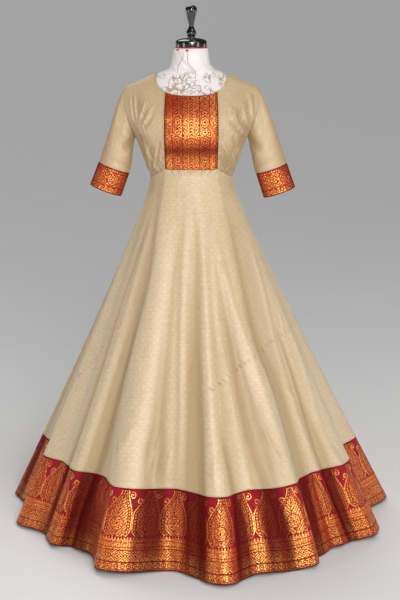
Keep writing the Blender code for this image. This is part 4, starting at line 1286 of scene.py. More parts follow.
def zari_finish(name, mask_of, colours, *sizes):
    """Brocade: crimson silk, of a more orange dye where the pattern is, under an open cover of gold
    zari thread that stands a little proud. Where the cloth folds in, the silk has painted shade,
    deeper in colour, and less of the gold shows; the gold is fuller near the lower edge, where the
    painted shade is weaker."""
    finish = Finish(name, {"Roughness": 0.60, "Specular IOR Level": 0.06})
    gold, open_ground, u, v = mask_of(finish, *sizes)
    glint = finish.noise(u * 150.0, v * 380.0, 0.0, 3.0)
    patch_of_wear = finish.noise(u * 24.0, v * 24.0, 3.0)
    thread = finish.noise(u * 2600.0, v * 500.0, 1.0, 0.0)
    hollow = finish.attribute("hollow")
    fuller = v.within(FULLER_TOP, FULLER_FADE)
    ground = finish.mix(open_ground * 0.55 + 0.45, colours.crimson_dark_and_shade, colours.crimson)
    # Painted shade: the ground and the silk under the gold darken where the cloth folds in.
    ground = finish.mix(hollow * 0.8, ground, colours.crimson_dark_and_shade)
    dyed_silk_and_shade = finish.mix(hollow * 0.9, colours.zari_silk, colours.zari_painted_shade)
    share = gold * (glint * 2.0 + patch_of_wear * 0.24 + fuller * 0.10 - 0.73)
    # Painted shade: less of the gold shows where the cloth folds in, less so near the hem.
    share = share * (1.0 - hollow * (0.92 - fuller * 0.32))
    normal = finish.bump(gold * 0.40 + glint * 0.50 + thread * 0.10, ZARI_RELIEF)
    finish.feed({"Base Color": finish.mix(gold, ground, dyed_silk_and_shade)})
    finish.cover_with(share, {
        "Base Color": finish.mix((glint - 0.40) * 4.0, colours.zari_deep, colours.zari_bright),
        "Metallic": 1.0,
        "Roughness": 0.37 + thread * 0.06,
        "Normal": normal,
    })
    return finish.material


def piecing_relief(finish, u, v):
    """Height of the puckers across the tight piecing seams, from 0 to 1. Each seam is a straight
    line on the flat skirt; its puckers are ridges at uneven steps along it, short and slanting."""
    height = 0.0
    for seed, (angle0, v0, angle1, v1) in enumerate(PIECING_SEAMS):
        x0, y0 = laid_flat(math.radians(angle0), v0)
        x1, y1 = laid_flat(math.radians(angle1), v1)
        length = math.hypot(x1 - x0, y1 - y0)
        to_x, to_y = float(x1 - x0) / length, float(y1 - y0) / length
        along = (u - float(x0)) * to_x + (v - float(y0)) * to_y
        across = (u - float(x0)) * to_y - (v - float(y0)) * to_x
        uneven = finish.noise(along * 34.0, 5.0 * seed, 0.0, 1.0)
        across = across + (uneven - 0.5) * PUCKER_DRIFT
        place = along + across * PUCKER_LEAN + uneven * PUCKER_UNEVEN
        ridge = 1.0 - place.near(PUCKER_STEP) * (2 / PUCKER_STEP)
        size = finish.noise(along * 75.0, 9.0, 3.0 * seed, 0.0)
        size = ((size - 0.20) * 2.2).math("MAXIMUM", 0.0)
        reach = across.stroke(PUCKER_REACH * 0.8, PUCKER_REACH * 0.6)
        height = height + ridge * ridge * reach * size * along.between(0.0, length)
    return height


def drag_lines(finish):
    """Height of the bodice's fine drag lines, from 0 to 1: noise stretched along straight lines
    that lean towards the middle, kept to the body's panels by soft bounds."""
    x, y, z = finish.place()
    out = abs(x)
    across = out * math.cos(DRAG_LEAN) - z * math.sin(DRAG_LEAN)
    along = out * math.sin(DRAG_LEAN) + z * math.cos(DRAG_LEAN)
    lines = finish.noise(across * 100.0, along * 12.0, y * 12.0, 1.0)
    on_body = (out - DRAG_OUTER_X).within(0.0, 0.016) * (DRAG_LOW_Z - z).within(0.0, 0.014)
    on_body = on_body * (z - DRAG_TOP_Z).within(0.0, 0.030)
    beside = (DRAG_INNER_X - out).within(0.0, 0.020)
    return lines * on_body * union(beside, (z - DRAG_HALF_Z).within(0.0, 0.035))


def silk_finish(colours, sizes):
    """Raw silk with a soft sheen: a diamond hatch in the weave, slubs both ways, painted shade, darker
    and warmer, where the cloth folds in, and the relief of its puckers, drag lines and own unevenness."""
    finish = Finish("cream_silk", {
        "Sheen Weight": 0.20,
        "Sheen Roughness": 0.40,
        "Sheen Tint": colours.silk_sheen,
        "Specular IOR Level": 0.7,
    })
    u, v = finish.weave()
    pitch = sizes.hatch_pitch
    hatch = (u + v).near(pitch).math("MINIMUM", (u - v).near(pitch)) * (6 / pitch)
    hatch = hatch.math("MINIMUM", 1.0)
    slub = finish.noise(u * 18.0, v * 300.0, 0.0)
    slub_up = finish.noise(u * 300.0, v * 18.0, 5.0)
    cloud = finish.noise(u * 14.0, v * 14.0, 2.0)
    hollow = finish.attribute("hollow")
    tone = finish.mix(hatch * 0.75 + 0.25, colours.silk_hatch, colours.silk)
    tone = finish.mix((slub * 1.2 + slub_up * 0.8 - 0.88) * 3.0, tone, colours.silk_hatch)
    tone = finish.mix((cloud - 0.40) * 0.5, tone, colours.silk_warm)
    # Painted shade: darker, warmer silk where the cloth folds in.
    tone = finish.mix(hollow * sizes.painted_shade_tone, tone, colours.silk_painted_shade)
    finish.feed({"Base Color": tone, "Roughness": 0.46 + slub * 0.12})
    weave = hatch * 0.3 + slub * 0.4 + slub_up * 0.3
    crumple = finish.noise(u * 42.0, v * 30.0, 8.0)
    relief = weave * (WEAVE_RELIEF / PUCKER_DEPTH) + piecing_relief(finish, u, v)
    relief = relief + crumple * (CRUMPLE_DEPTH / PUCKER_DEPTH)
    finish.bump(relief + drag_lines(finish) * (DRAG_DEPTH / PUCKER_DEPTH), PUCKER_DEPTH)
    return finish.material


def cover_stem(x, z, low, high, foot, lean, sway, turn):
    """A tendril of the cover, from one height to another: x is its foot + lean x the way up +
    sway x the sine of turn x the way up."""
    up = (z - low) * (1 / (high - low))
    bend = (up * turn).math("SINE") * sway
    return (x - foot - up * lean - bend).stroke(STEM_HALF, 0.0006) * z.between(low, high)


def cover_finish(colours):
    """White cloth stretched over the form, with faint scrolls embroidered in beige and grey
    below the neck, and two stems that climb it in front. A scroll is the line along which smooth
    noise has one value."""
    finish = Finish("form_cover", {"Sheen Weight": 0.2, "Sheen Roughness": 0.4})
    x, y, z = finish.place()
    bend = finish.noise(x * 34.0, y * 34.0, z * 34.0, 1.0)
    first = finish.noise(x * 46.0 + bend * 2.0, y * 46.0, z * 46.0, 0.0)
    second = finish.noise(x * 74.0, y * 74.0, z * 74.0 + bend * 3.0, 0.0)
    patches = finish.noise(x * 24.0, y * 24.0, z * 24.0, 1.0)
    scrolls = union((first - 0.50).stroke(0.034, 0.010), (second - 0.46).stroke(0.040, 0.014))
    low = (z - SCROLL_TOP_Z).within(0.0, 0.016)
    dense = (0.45 - patches).within(0.0, 0.05) * low
    stems = union(*(cover_stem(x, z, *row) for row in COVER_STEMS)) * y.within(0.0)
    drawn = union(scrolls * dense * 0.9, stems * 0.9)
    thread = finish.mix((patches - 0.45) * 5.0, colours.embroidery_grey, colours.embroidery)
    weave = finish.noise(x * 900.0, y * 900.0, z * 900.0, 1.0)
    finish.feed({
        "Base Color": finish.mix(drawn, colours.cover, thread),
        "Roughness": 0.62 + weave * 0.16,
    })
    finish.bump(drawn * 0.9 + weave * 0.2, 0.0005)
    return finish.material


def lacquer_finish(name, colour, roughness, coat):
    """Painted and polished wood, with a faint unevenness in its gloss."""
    finish = Finish(name, {"Base Color": colour, "Coat Roughness": 0.06, "Coat Weight": coat})
    x, y, z = finish.place()
    haze = finish.noise(x * 70.0, y * 70.0, z * 70.0)
    finish.feed({"Roughness": roughness + haze * 0.08})
    finish.bump(finish.noise(x * 240.0, y * 240.0, z * 240.0), 0.00005)
    return finish.material


def metal_finish(colours):
    """Black powder-coated steel: dark and slightly rough, worn a little paler in patches."""
    finish = Finish("stand_metal", {"Specular IOR Level": 0.5})
    x, y, z = finish.place()
    grain = finish.noise(x * 700.0, y * 700.0, z * 700.0)
    wear = finish.noise(x * 30.0, y * 30.0, z * 30.0)
    finish.feed({
        "Base Color": finish.mix((wear - 0.5) * 1.4, colours.stand, colours.stand_worn),
        "Roughness": 0.38 + grain * 0.2,
        "Metallic": 0.4 + wear * 0.2,
    })
    finish.bump(grain, 0.0001)
    return finish.material


def floor_finish(colours):
    """Plain pale floor with a barely visible mottle."""
    finish = Finish("floor", {"Specular IOR Level": 0.2})
    x, y, z = finish.place()
    mottle = finish.noise(x * 3.0, y * 3.0, z)
    finish.feed({
        "Base Color": finish.mix(mottle, colours.floor, colours.floor_shade),
        "Roughness": 0.62 + mottle * 0.1,
    })
    return finish.material


# ---------------- settings


def colour_setting(name, text, value):
    """A colour that a user may change."""
    return bpy.props.FloatVectorProperty(
        name=name, description=text, default=value, subtype="COLOR", size=3, min=0.0, max=1.0
    )


def length_setting(name, text, value):
    """A length that a user may change, in metres."""
    return bpy.props.FloatProperty(
        name=name, description=text, default=value, min=0.0, unit="LENGTH", precision=4
    )


def share_setting(name, text, value):
    """A plain factor that a user may change."""
    return bpy.props.FloatProperty(name=name, description=text, default=value, min=0.0)


class GownSizes(bpy.types.PropertyGroup):
    """Sizes of the gown's finer forms and of its patterns."""

    crease_depth: share_setting("Crease depth", "Times the creases' own depths", 1.0)
    fold_depth: share_setting("Flute depth", "Times the depths of the skirt's flutes", 1.0)
    hatch_pitch: length_setting("Hatch", "Pitch of the diamond hatch in the silk", 0.0220)
    paisley_repeat: length_setting("Paisley repeat", "Width of one paisley of the border", 0.086)
    # Strength of the silk's painted shade in its folds.
    painted_shade_tone: share_setting("Warmth of hollows", "How much warmer the silk's hollows are", 0.85)


class GownColours(bpy.types.PropertyGroup):
    """Colours of the gown, its form and the floor, as linear values."""

    silk: colour_setting("Silk", "Main tone of the silk", (0.590, 0.466, 0.302))
    silk_hatch: colour_setting("Silk hatch", "Darker threads of the silk", (0.510, 0.380, 0.220))
    silk_warm: colour_setting("Warm silk", "Cloudy warmer areas", (0.575, 0.430, 0.250))
    # Painted shade of the silk in its folds.
    silk_painted_shade: colour_setting("Silk hollows", "Tone inside the folds", (0.36, 0.235, 0.110))
    silk_sheen: colour_setting("Silk sheen", "Tint of the soft sheen", (1.0, 0.93, 0.80))
    crimson: colour_setting("Crimson", "Silk ground of the brocade", (0.29, 0.011, 0.022))
    # Darker ground of the pattern, and also the painted shade of the ground in its folds.
    crimson_dark_and_shade: colour_setting("Deep crimson", "The ground in its folds", (0.065, 0.0016, 0.0024))
    zari_bright: colour_setting("Bright zari", "Gold thread where it glints", (1.0, 0.63, 0.20))
    zari_deep: colour_setting("Deep zari", "Copper tone of the thread", (0.95, 0.33, 0.05))
    zari_silk: colour_setting("Silk under zari", "Silk behind the gold thread", (0.43, 0.012, 0.002))
    # Painted shade of the silk under the gold, in its folds.
    zari_painted_shade: colour_setting("Zari hollows", "The same in its folds", (0.065, 0.002, 0.001))
    cover: colour_setting("Form cover", "White cloth of the form", (0.69, 0.640, 0.625))
    embroidery: colour_setting("Embroidery", "Beige scrolls", (0.36, 0.24, 0.11))
    embroidery_grey: colour_setting("Grey embroidery", "Grey scrolls", (0.28, 0.26, 0.25))
    cap: colour_setting("Cap", "Polished black cap and finial", (0.006, 0.006, 0.007))
    rim: colour_setting("Rim", "Red rim under the cap", (0.50, 0.006, 0.020))
    stand: colour_setting("Stand", "Powder-coated stand", (0.020, 0.020, 0.022))
    stand_worn: colour_setting("Worn stand", "Its worn patches", (0.09, 0.09, 0.09))
    floor: colour_setting("Floor", "Plain pale floor", (0.72, 0.715, 0.71))
    floor_shade: colour_setting("Floor mottle", "Its darker mottle", (0.69, 0.685, 0.68))


class StageSettings(bpy.types.PropertyGroup):
    """Strengths of the studio's lights."""

    key: share_setting("Key", "Power of the soft box in front, in watts", 118.0)
    strip: share_setting("Strip", "Power of the wide strip in front, in watts", 50.0)
    sides: share_setting("Sides", "Power of each soft box at the sides, in watts", 28.0)
    flanks: share_setting("Flanks", "Power of each low soft box beside the hem, in watts", 12.0)
    overhead: share_setting("Overhead", "Strength of the broad light above", 0.70)
    back: share_setting("Back", "Strength of the broad light behind", 1.15)
    world: share_setting("World", "Strength of the plain surroundings", 0.04)


# ---------------- pieces


def clear_of_form(height):
    """The same creases with their troughs eased so that the cloth never reaches the form: a
    trough of depth d becomes limit x tanh(d / limit)."""
    return np.where(height < 0, TROUGH_LIMIT * np.tanh(height / TROUGH_LIMIT), height)


def bodice_painted_shade(height):
    """Painted shade of the bodice's cloth: some all over, and more in a trough."""
    return np.maximum(-height, 0.0) / BODICE_SHADE_DEPTH + BODICE_PAINTED_SHADE


def plain_weave(points):
    """Weave coordinates of a small piece: lengths of cloth along its rows and up its columns."""
    return np.stack((run_along(points, 1), run_along(points, 0)), axis=-1)


def dress_bodice_front(name, side, table, painted_shades, sizes, material):
    """Front bodice piece: folded over the yoke's edge and neckline and sewn on its others."""
    points = front_side_grid(*FRONT_GRID)
    first, last = FOLDED, SEWN
    if side < 0:
        points, first, last = mirrored(points), last, first
    crease = creases(points[..., 0], points[..., 2], even_width(table)) * sizes.crease_depth
    height = clear_of_form(crease) + edge_profile(points, first, last, SEWN, SEWN)
    # Painted shade: in the creases' troughs, over the whole piece, and in the shaded areas of its
    # table.
    hollow = bodice_painted_shade(crease) + creases(points[..., 0], points[..., 2], even_width(painted_shades))
    mesh = grid_mesh(name, raised(points, height), plain_weave(points), hollow)
    add_cloth(name, mesh, material, "cream_silk")


def dress_bodice_back(sizes, material):
    """Back bodice piece, from neckline to empire seam."""
    points = back_grid(*BACK_GRID)
    crease = creases(points[..., 0], points[..., 2], even_width(BACK_CREASES))
    crease = crease * sizes.crease_depth
    height = clear_of_form(crease) + edge_profile(points, SEWN, SEWN, SEWN)
    weave = plain_weave(points)
    # Painted shade: in the creases' troughs and over the whole piece.
    mesh = grid_mesh("bodice_back", raised(points, height), weave, bodice_painted_shade(crease))
    add_cloth("bodice_back", mesh, material, "cream_silk")


def dress_yoke(sizes, material):
    """Yoke panel, sunk into its seams, with slow waves across it: depth x exp(-(dz / width)^2),
    deeper towards the sides as 1 + r^2 and gone at them as 1 - r^8."""
    points = yoke_grid(*YOKE_GRID)
    height = edge_profile(points, SEWN, SEWN, SEWN)
    along = run_along(points, 1)
    reach = np.abs(2 * along / along[:, -1:] - 1)
    for z, width, depth in YOKE_WAVES:
        wave = depth * bell((points[..., 2] - z) / width) * sizes.crease_depth
        height += wave * (1.0 + reach**2) * (1.0 - reach**8)
    # Painted shade in bands across the yoke.
    hollow = np.zeros(height.shape)
    for z, width, tone in YOKE_PAINTED_SHADE:
        hollow += tone * bell((points[..., 2] - z) / width)
    weave = np.stack((along - along[:, -1:] / 2, run_along(points, 0)), axis=-1)
    mesh = grid_mesh("yoke_panel", raised(points, height), weave, hollow)
    add_cloth("yoke_panel", mesh, material, "zari_brocade")


def tube_mesh(name, side, points, weave, hollow):
    """Mesh of a sleeve or cuff shaped on the +X side, turned over where it is on the other."""
    if side < 0:
        points, weave, hollow = mirrored(points), weave[:, ::-1], hollow[:, ::-1]
    return grid_mesh(name, points, weave, hollow, closed=True)


def dress_sleeve(row, sizes, material):
    """A sleeve, with creases that run from the armpit and over the elbow's bend. Its inner and outer
    sides, which turn from the light, get painted shade: tone x cos^2 of the turn, and its troughs get
    more."""
    name, side = "sleeve_" + row[0], row[1]
    points = sleeve_grid(row, *SLEEVE_GRID)
    drop = run_along(points, 0)
    around = full_turn(points.shape[1]) + 0.0 * drop
    crease = np.zeros(drop.shape)
    for lap in (-1.0, 0.0, 1.0):
        turn = around / (2 * math.pi) + lap
        crease += creases(turn, drop / drop[-1:], even_width(SLEEVE_CREASES))
    crease *= sizes.crease_depth
    height = crease + edge_profile(points, low=SEWN, high=SEWN)
    weave = plain_weave(np.concatenate((points, points[:, :1]), axis=1))
    # Painted shade on the sides that turn from the light, and in the troughs.
    outward = np.cos(around)
    edges = SLEEVE_INNER_PAINTED_SHADE * np.clip(-outward, 0.0, 1.0) ** 2
    edges += SLEEVE_OUTER_PAINTED_SHADE * np.clip(outward, 0.0, 1.0) ** 2
    hollow = bodice_painted_shade(crease) + edges
    mesh = tube_mesh(name, side, raised(points, height, closed=True), weave, hollow)
    add_cloth(name, mesh, material, "cream_silk")


def dress_cuff(row, material):
    """A cuff. All but its front, which faces the light, gets painted shade."""
    name, side = "cuff_" + row[0], row[1]
    points = cuff_grid(row, *CUFF_GRID)
    height = edge_profile(points, low=SEWN)
    closed = np.concatenate((points, points[:, :1]), axis=1)
    drop = run_along(closed, 0)
    around = np.broadcast_to(run_along(closed, 1)[:1], drop.shape)
    weave = np.stack((around, CUFF_DEPTH * (1 - drop / drop[-1:])), axis=-1)
    # Painted shade on all of the cuff but its front, which faces the light.
    turn = full_turn(height.shape[1])
    unlit = smoothstep((CUFF_LIT - np.sin(turn)) / CUFF_LIT_FADE)
    hollow = CUFF_SIDE_PAINTED_SHADE * unlit + CUFF_FRONT_PAINTED_SHADE + 0.0 * height
    mesh = tube_mesh(name, side, raised(points, height, closed=True), weave, hollow)
    add_cloth(name, mesh, material, "zari_brocade")


def skirt_shape(half, v, columns, sizes, low=0.0, high=0.0):
    """Points and painted shade of a stretch of skirt: rows up, from the lower share of v. low and high
    are the heights of its lower and upper edges."""
    first, last = skirt_span(half)
    finest = ((0.55, 0.65, 0.7),) if half == "front" else ()
    angle = steps(first, last, columns, *finest)[None, :]
    angle, v = np.broadcast_arrays(angle, v[::-1, None])
    points = skirt_point(angle, v)
    rise, shade = flutes(angle, v, sizes)
    height = rise + skirt_creases(angle, v, sizes)
    fold = fold_offset(angle) * v ** FOLD_GROWTH
    fade = VALLEY_FADE[0] + VALLEY_FADE[1] * v
    # Painted shade: the flutes' troughs and hollows, and the valleys between the main folds.
    hollow = np.clip(shade + VALLEY_PAINTED_SHADE * smoothstep((VALLEY_REACH - fold) / fade), 0.0, 1.0)
    height = height + edge_profile(points, SEWN, SEWN, low, high)
    return raised(points, height), angle, v, hollow


def dress_skirt(half, sizes, material):
    """One half of the skirt. Its weave follows the plane of its flat cut."""
    name = "skirt_" + half
    rows, columns = SKIRT_GRIDS[half]
    seam = border_start()
    gap = SEAM_GAP / SKIRT_SLOPE
    v = steps(gap, seam - gap / 2, rows, (0.49, 0.10, 0.8), (0.0, 0.02, 1.5))
    points, angle, v, hollow = skirt_shape(half, v, columns, sizes, *SKIRT_EDGES)
    mesh = grid_mesh(name, points, np.stack(laid_flat(angle, v), axis=-1), hollow)
    add_cloth(name, mesh, material, "cream_silk")


def dress_border(half, sizes, material):
    """One half of the hem border. Its pattern follows the length of cloth round the folds."""
    name = "hem_border_" + half
    rows, columns = BORDER_GRIDS[half]
    seam = border_start()
    v = steps(seam + SEAM_GAP / SKIRT_SLOPE / 2, 1.0, rows)
    points, _, v, hollow = skirt_shape(half, v, columns, sizes)
    around = run_along(points[rows // 2:rows // 2 + 1], 1)
    rise = (1.0 - v) / (1.0 - seam) * BORDER_DEPTH
    weave = np.stack((np.broadcast_to(around, rise.shape), rise), axis=-1)
    mesh = grid_mesh(name, points, weave, hollow)
    add_cloth(name, mesh, material, "zari_brocade")


# ---------------- the dress form

# Folds of the form's cover, looked at from the front, on the front and on the back.
COVER_FOLDS = (
    # x0,     z0,    x1,     z1,    width,  depth,   bow
    (-0.034, 1.446, 0.030, 1.366, 0.0026, 0.0032, 0.004),
    (-0.039, 1.440, 0.024, 1.360, 0.0034, -0.0018, 0.004),
    (0.058, 1.412, 0.012, 1.364, 0.0026, 0.0028, -0.003),
    (0.054, 1.404, 0.008, 1.360, 0.0032, -0.0014, -0.003),
    (-0.050, 1.430, -0.034, 1.360, 0.0034, 0.0020, 0.003),
    (0.030, 1.440, 0.044, 1.396, 0.0034, -0.0016, 0.0),
    (-0.012, 1.372, -0.014, 1.308, 0.0020, 0.0014, 0.001),
    (0.001, 1.366, 0.003, 1.302, 0.0020, 0.0014, 0.001),
)
# Stems on its front: from one height to another, and where each runs.
COVER_STEMS = (
    # low,  high,   foot,   lean,    sway,   turn in radians
    (1.370, 1.443, 0.0130, -0.0300, 0.0045, 8.0),
    (1.382, 1.441, -0.0400, 0.0150, -0.0035, 6.0),
)
STEM_HALF = 0.0011
SCROLL_TOP_Z = 1.384
COLLAR_FOOT_Z = 1.390       # the cover's loose collar stands out above this
COLLAR_RISE = 0.0042
COLLAR_FADE = 0.012
COLLAR_LEAN = 0.45          # how much more it stands out on the wearer's right than in the middle
NECK_TOP_FADE = 0.010       # the cover is drawn tight over this height under the rim
PIN_HEADS = (
    # x,      y,       z
    (-0.0390, -0.0310, 1.4478),
    (-0.0120, -0.0485, 1.4468),
)
PIN_RADIUS = 0.0048
RIM_RADIUS = 0.0478
RIM_HEIGHT = 0.0030
RIM_BEVEL = 0.0014
CAP_FOOT = ((0.0, 0.0), (0.0450, 0.0), (0.0460, 0.0006), (0.0463, 0.0020), (0.0466, 0.0080))
CAP_RADIUS = 0.0462
CAP_SHOULDER = 0.0150
CAP_DOME = 0.0115
FINIAL_PROFILE = (
    # radius, height above its foot
    (0.0112, 0.0), (0.0118, 0.0040), (0.0140, 0.0095), (0.0149, 0.0150), (0.0128, 0.0205),
    (0.0095, 0.0265), (0.0076, 0.0320), (0.0072, 0.0355), (0.0088, 0.0420), (0.0118, 0.0545),
    (0.0148, 0.0680), (0.0164, 0.0765), (0.0166, 0.0825), (0.0150, 0.0880), (0.0115, 0.0918),
    (0.0060, 0.0940), (0.0, 0.0945),
)
BASE_RADIUS = 0.17
BASE_TOP_PROFILE = (
    (BASE_RADIUS, 0.0050), (0.1680, 0.0085), (0.1600, 0.0115), (0.0900, 0.0150),
    (0.0300, 0.0190), (0.0240, 0.0260), (0.0240, 0.0485), (0.0225, 0.0500),
)
BASE_COLLAR_TOP = 0.0500
POLE_RADIUS = 0.0125


def form_ring(z, turn):
    """One level ring of the form: the body's sections drawn in by its ease and closed at the
    shoulders, with hips and neck as plain ellipses that it blends into."""
    side = np.where(np.cos(turn) > 0, 2, 3)
    table = FORM_HIPS if z <= FORM_HIPS[-1, 0] else FORM_NECK
    depth = np.where(side == 2, section(table, z, 2), section(table, z, 3))
    plain = np.stack((section(table, z, 1) * np.sin(turn), -depth * np.cos(turn)), axis=-1)
    if z <= FORM_HIPS[-1, 0]:
        return plain
    reach = NECK_POINT_X + (NECK_POINT_Z - SHOULDER_EASE - z) / SHOULDER_SLOPE
    half = min(section(BODY_SECTIONS, z, 1) - FORM_EASE, SHOULDER_END_X - FORM_EASE, reach)
    x = half * np.sin(turn)
    front = body_depth(x, z, 2, FORM_EASE, SHOULDER_EASE)
    back = body_depth(x, z, 3, FORM_EASE, SHOULDER_EASE)
    blunt = np.sqrt(1 - np.abs(np.sin(turn)) ** FORM_SIDE_SQUARENESS)
    body = np.stack((x, np.where(side == 2, -front, back) * blunt), axis=-1)
    share = smoothstep((z - FORM_NECK[0, 0]) / NECK_BLEND)
    return body + (plain - body) * share


def dress_torso(sizes, material):
    """The covered torso: level rings from the hips to the top of the neck, shut flat."""
    rows, columns = FORM_GRID
    turn = full_turn(columns)
    levels = steps(FORM_BOTTOM_Z, NECK_TOP_Z, rows, (FORM_NECK[0, 0], 0.05, 3.0))
    rings = [np.column_stack((form_ring(z, turn), np.full(turn.shape, z))) for z in levels]
    points = np.stack(rings)
    x, y, z = (points[..., i] for i in range(3))
    folds = even_width(COVER_FOLDS)
    height = np.where(y < 0, creases(x, z, folds), creases(-x, z, folds)) * sizes.crease_depth
    collar = smoothstep((z - COLLAR_FOOT_Z) / COLLAR_FADE)
    collar = COLLAR_RISE * collar * (1.0 - COLLAR_LEAN * x / FORM_NECK[-1, 1])
    height = (height + collar) * smoothstep((NECK_TOP_Z - z) / NECK_TOP_FADE)
    shaped = raised(points, height, closed=True)
    ends = np.stack((shaped[0].mean(0), shaped[-1].mean(0)))[:, None] + 0.0 * shaped[:1]
    mesh = grid_mesh("form_torso", np.concatenate((ends[:1], shaped, ends[1:])), closed=True)
    close_poles(mesh)
    mesh.set_sharp_from_angle(angle=math.radians(50))
    add_piece("form_torso_cover", mesh, material, "form_torso")


def close_poles(mesh):
    """Merges the points of a grid's collapsed first and last rows."""
    shape = bmesh.new()
    shape.from_mesh(mesh)
    bmesh.ops.remove_doubles(shape, verts=shape.verts, dist=1e-6)
    bmesh.ops.dissolve_degenerate(shape, edges=shape.edges, dist=1e-7)
    shape.to_mesh(mesh)
    shape.free()


def rounded(radius, low, high, bevel):
    """Profile of a plain disc or rod with rounded edges, from its foot's middle to its top's."""
    turn = np.linspace(0.0, math.pi / 2, 6)
    foot = np.column_stack((radius - bevel + bevel * np.sin(turn), low + bevel - bevel * np.cos(turn)))
    top = np.column_stack((radius - bevel + bevel * np.cos(turn), high - bevel + bevel * np.sin(turn)))
    return np.vstack(((0.0, low), foot, top, (0.0, high)))


def dress_neck(colours):
    """Rim, domed cap, finial and the two pins of the cover."""
    rim_foot = NECK_TOP_Z + SEAM_GAP
    cap_foot = rim_foot + RIM_HEIGHT + SEAM_GAP
    finial_foot = cap_foot + CAP_SHOULDER + CAP_DOME + SEAM_GAP
    rim = rounded(RIM_RADIUS, 0.0, RIM_HEIGHT, RIM_BEVEL)
    turn = np.linspace(math.pi / 2, 0.0, 24)
    dome = np.column_stack((CAP_RADIUS * np.sin(turn), CAP_SHOULDER + CAP_DOME * np.cos(turn)))
    cap = np.vstack((CAP_FOOT, dome))
    finial = np.vstack(((0.0, 0.0), smooth_run(FINIAL_PROFILE, 6)))
    red = lacquer_finish("rim_red", colours.rim, 0.42, 0.2)
    black = lacquer_finish("black_gloss", colours.cap, 0.16, 0.6)
    pieces = (
        ("form_neck_rim", rim, rim_foot, red, "rim_red"),
        ("form_neck_cap", cap, cap_foot, black, "black_gloss"),
        ("form_finial", finial, finial_foot, black, "black_gloss"),
    )
    for name, profile, foot, material, slot in pieces:
        mesh = lathe_mesh(name, profile, foot, turns=96, sharp_angle=40)
        add_piece(name + "_turned", mesh, material, name)
    turn = np.linspace(0.0, math.pi, 17)
    ball = np.column_stack((PIN_RADIUS * np.sin(turn), -0.8 * PIN_RADIUS * np.cos(turn)))
    for i, place in enumerate(PIN_HEADS):
        mesh = lathe_mesh("form_pin", ball, 0.0, turns=24, sharp_angle=60)
        mesh.transform(Matrix.Translation(place))
        mesh.materials.append(red)
        pin = add_object("form_pin_%d" % (i + 1), mesh)
        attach(pin, "root")


def dress_stand(colours):
    """Pole and round base under the skirt."""
    metal = metal_finish(colours)
    top = smooth_run(BASE_TOP_PROFILE, 5)
    base = np.vstack(((0.0, 0.0), (BASE_RADIUS - 0.001, 0.0), (BASE_RADIUS, 0.0012), top))
    base = np.vstack((base, (0.0, BASE_COLLAR_TOP)))
    pole_foot = BASE_COLLAR_TOP + SEAM_GAP
    pole = rounded(POLE_RADIUS, 0.0, FORM_BOTTOM_Z - SEAM_GAP - pole_foot, 0.0010)
    for name, profile, foot in (("form_base", base, 0.0), ("form_pole", pole, pole_foot)):
        mesh = lathe_mesh(name, profile, foot, turns=128, sharp_angle=35)
        add_piece(name + "_turned", mesh, metal, name)


# ---------------- the stage

CAMERA_PLACE = (0.0257, -4.2, 1.6162)
CAMERA_PITCH = 12.458       # degrees below level
FILM = 36.0                 # long side, in millimetres
FOCAL_LENGTH = 83.80
LIGHT_TARGET = (0.0, 0.0, 0.85)
SOFT_BOXES = (
    # name,   place,           size,    setting, share of it
    ("key", (0.55, -4.3, 2.35), (1.25, 2.0), "key", 1.0),
    ("strip", (0.45, -4.4, 2.30), (3.6, 0.5), "strip", 1.0),
    ("right", (3.3, -2.7, 1.1), (0.8, 1.8), "sides", 1.1),
    ("left", (-3.4, -2.3, 0.9), (0.8, 1.8), "sides", 1.0),
    ("flank_1", (3.3, 1.3, 0.6), (0.6, 1.4), "flanks", 1.0),
    ("flank_2", (-3.3, 1.3, 0.6), (0.6, 1.4), "flanks", 1.0),
)
SUNS = (
    # name and setting, direction, width in degrees
    ("overhead", (1.7, -1.7, 4.0), 25.0),
    ("back", (-1.5, 3.5, 4.5), 40.0),
)
SURROUNDINGS = (0.95, 0.97, 1.0, 1.0)
FLOOR_RADII = (400.0, 90.0, 25.0, 9.0, 3.0, 1.0, 0.0)


def add_light(name, kind, power, place, target=(0.0, 0.0, 0.0)):
    """A light of this kind at this place, turned to its target."""
    light = bpy.data.lights.new(name, kind)
    light.energy = power
    obj = add_object(name, light)
    obj.location = place
    obj.rotation_euler = (Vector(target) - Vector(place)).to_track_quat("-Z", "Y").to_euler()
    return light


def add_lights(stage):
    """The soft boxes, and the two broad lights far off."""
    for name, place, size, setting, share in SOFT_BOXES:
        box = add_light(name, "AREA", getattr(stage, setting) * share, place, LIGHT_TARGET)
        box.shape = "RECTANGLE"
        box.size, box.size_y = size
    for name, place, spread in SUNS:
        sun = add_light(name, "SUN", getattr(stage, name), place)
        sun.angle = math.radians(spread)


def add_camera():
    """The camera: level across, looking a little down."""
    camera = bpy.data.cameras.new("camera")
    camera.sensor_width = FILM
    camera.lens = FOCAL_LENGTH
    camera.clip_end = 2 * FLOOR_RADII[0]
    obj = add_object("camera", camera)
    obj.location = CAMERA_PLACE
    obj.rotation_euler = (math.radians(90.0 - CAMERA_PITCH), 0.0, 0.0)
    bpy.context.scene.camera = obj


def add_floor(material):
    """A wide round floor at the stand's foot."""
    profile = np.array([(radius, 0.0) for radius in FLOOR_RADII])
    mesh = lathe_mesh("floor", profile, 0.0, turns=96, sharp_angle=30)
    mesh.materials.append(material)
    floor = add_object("floor", mesh)


def add_world(strength):
    """Plain pale surroundings."""
    world = bpy.data.worlds.new("studio")
    world.use_nodes = True
    background = world.node_tree.nodes["Background"]
    background.inputs["Color"].default_value = SURROUNDINGS
    background.inputs["Strength"].default_value = strength
    bpy.context.scene.world = world


# ---------------- operators


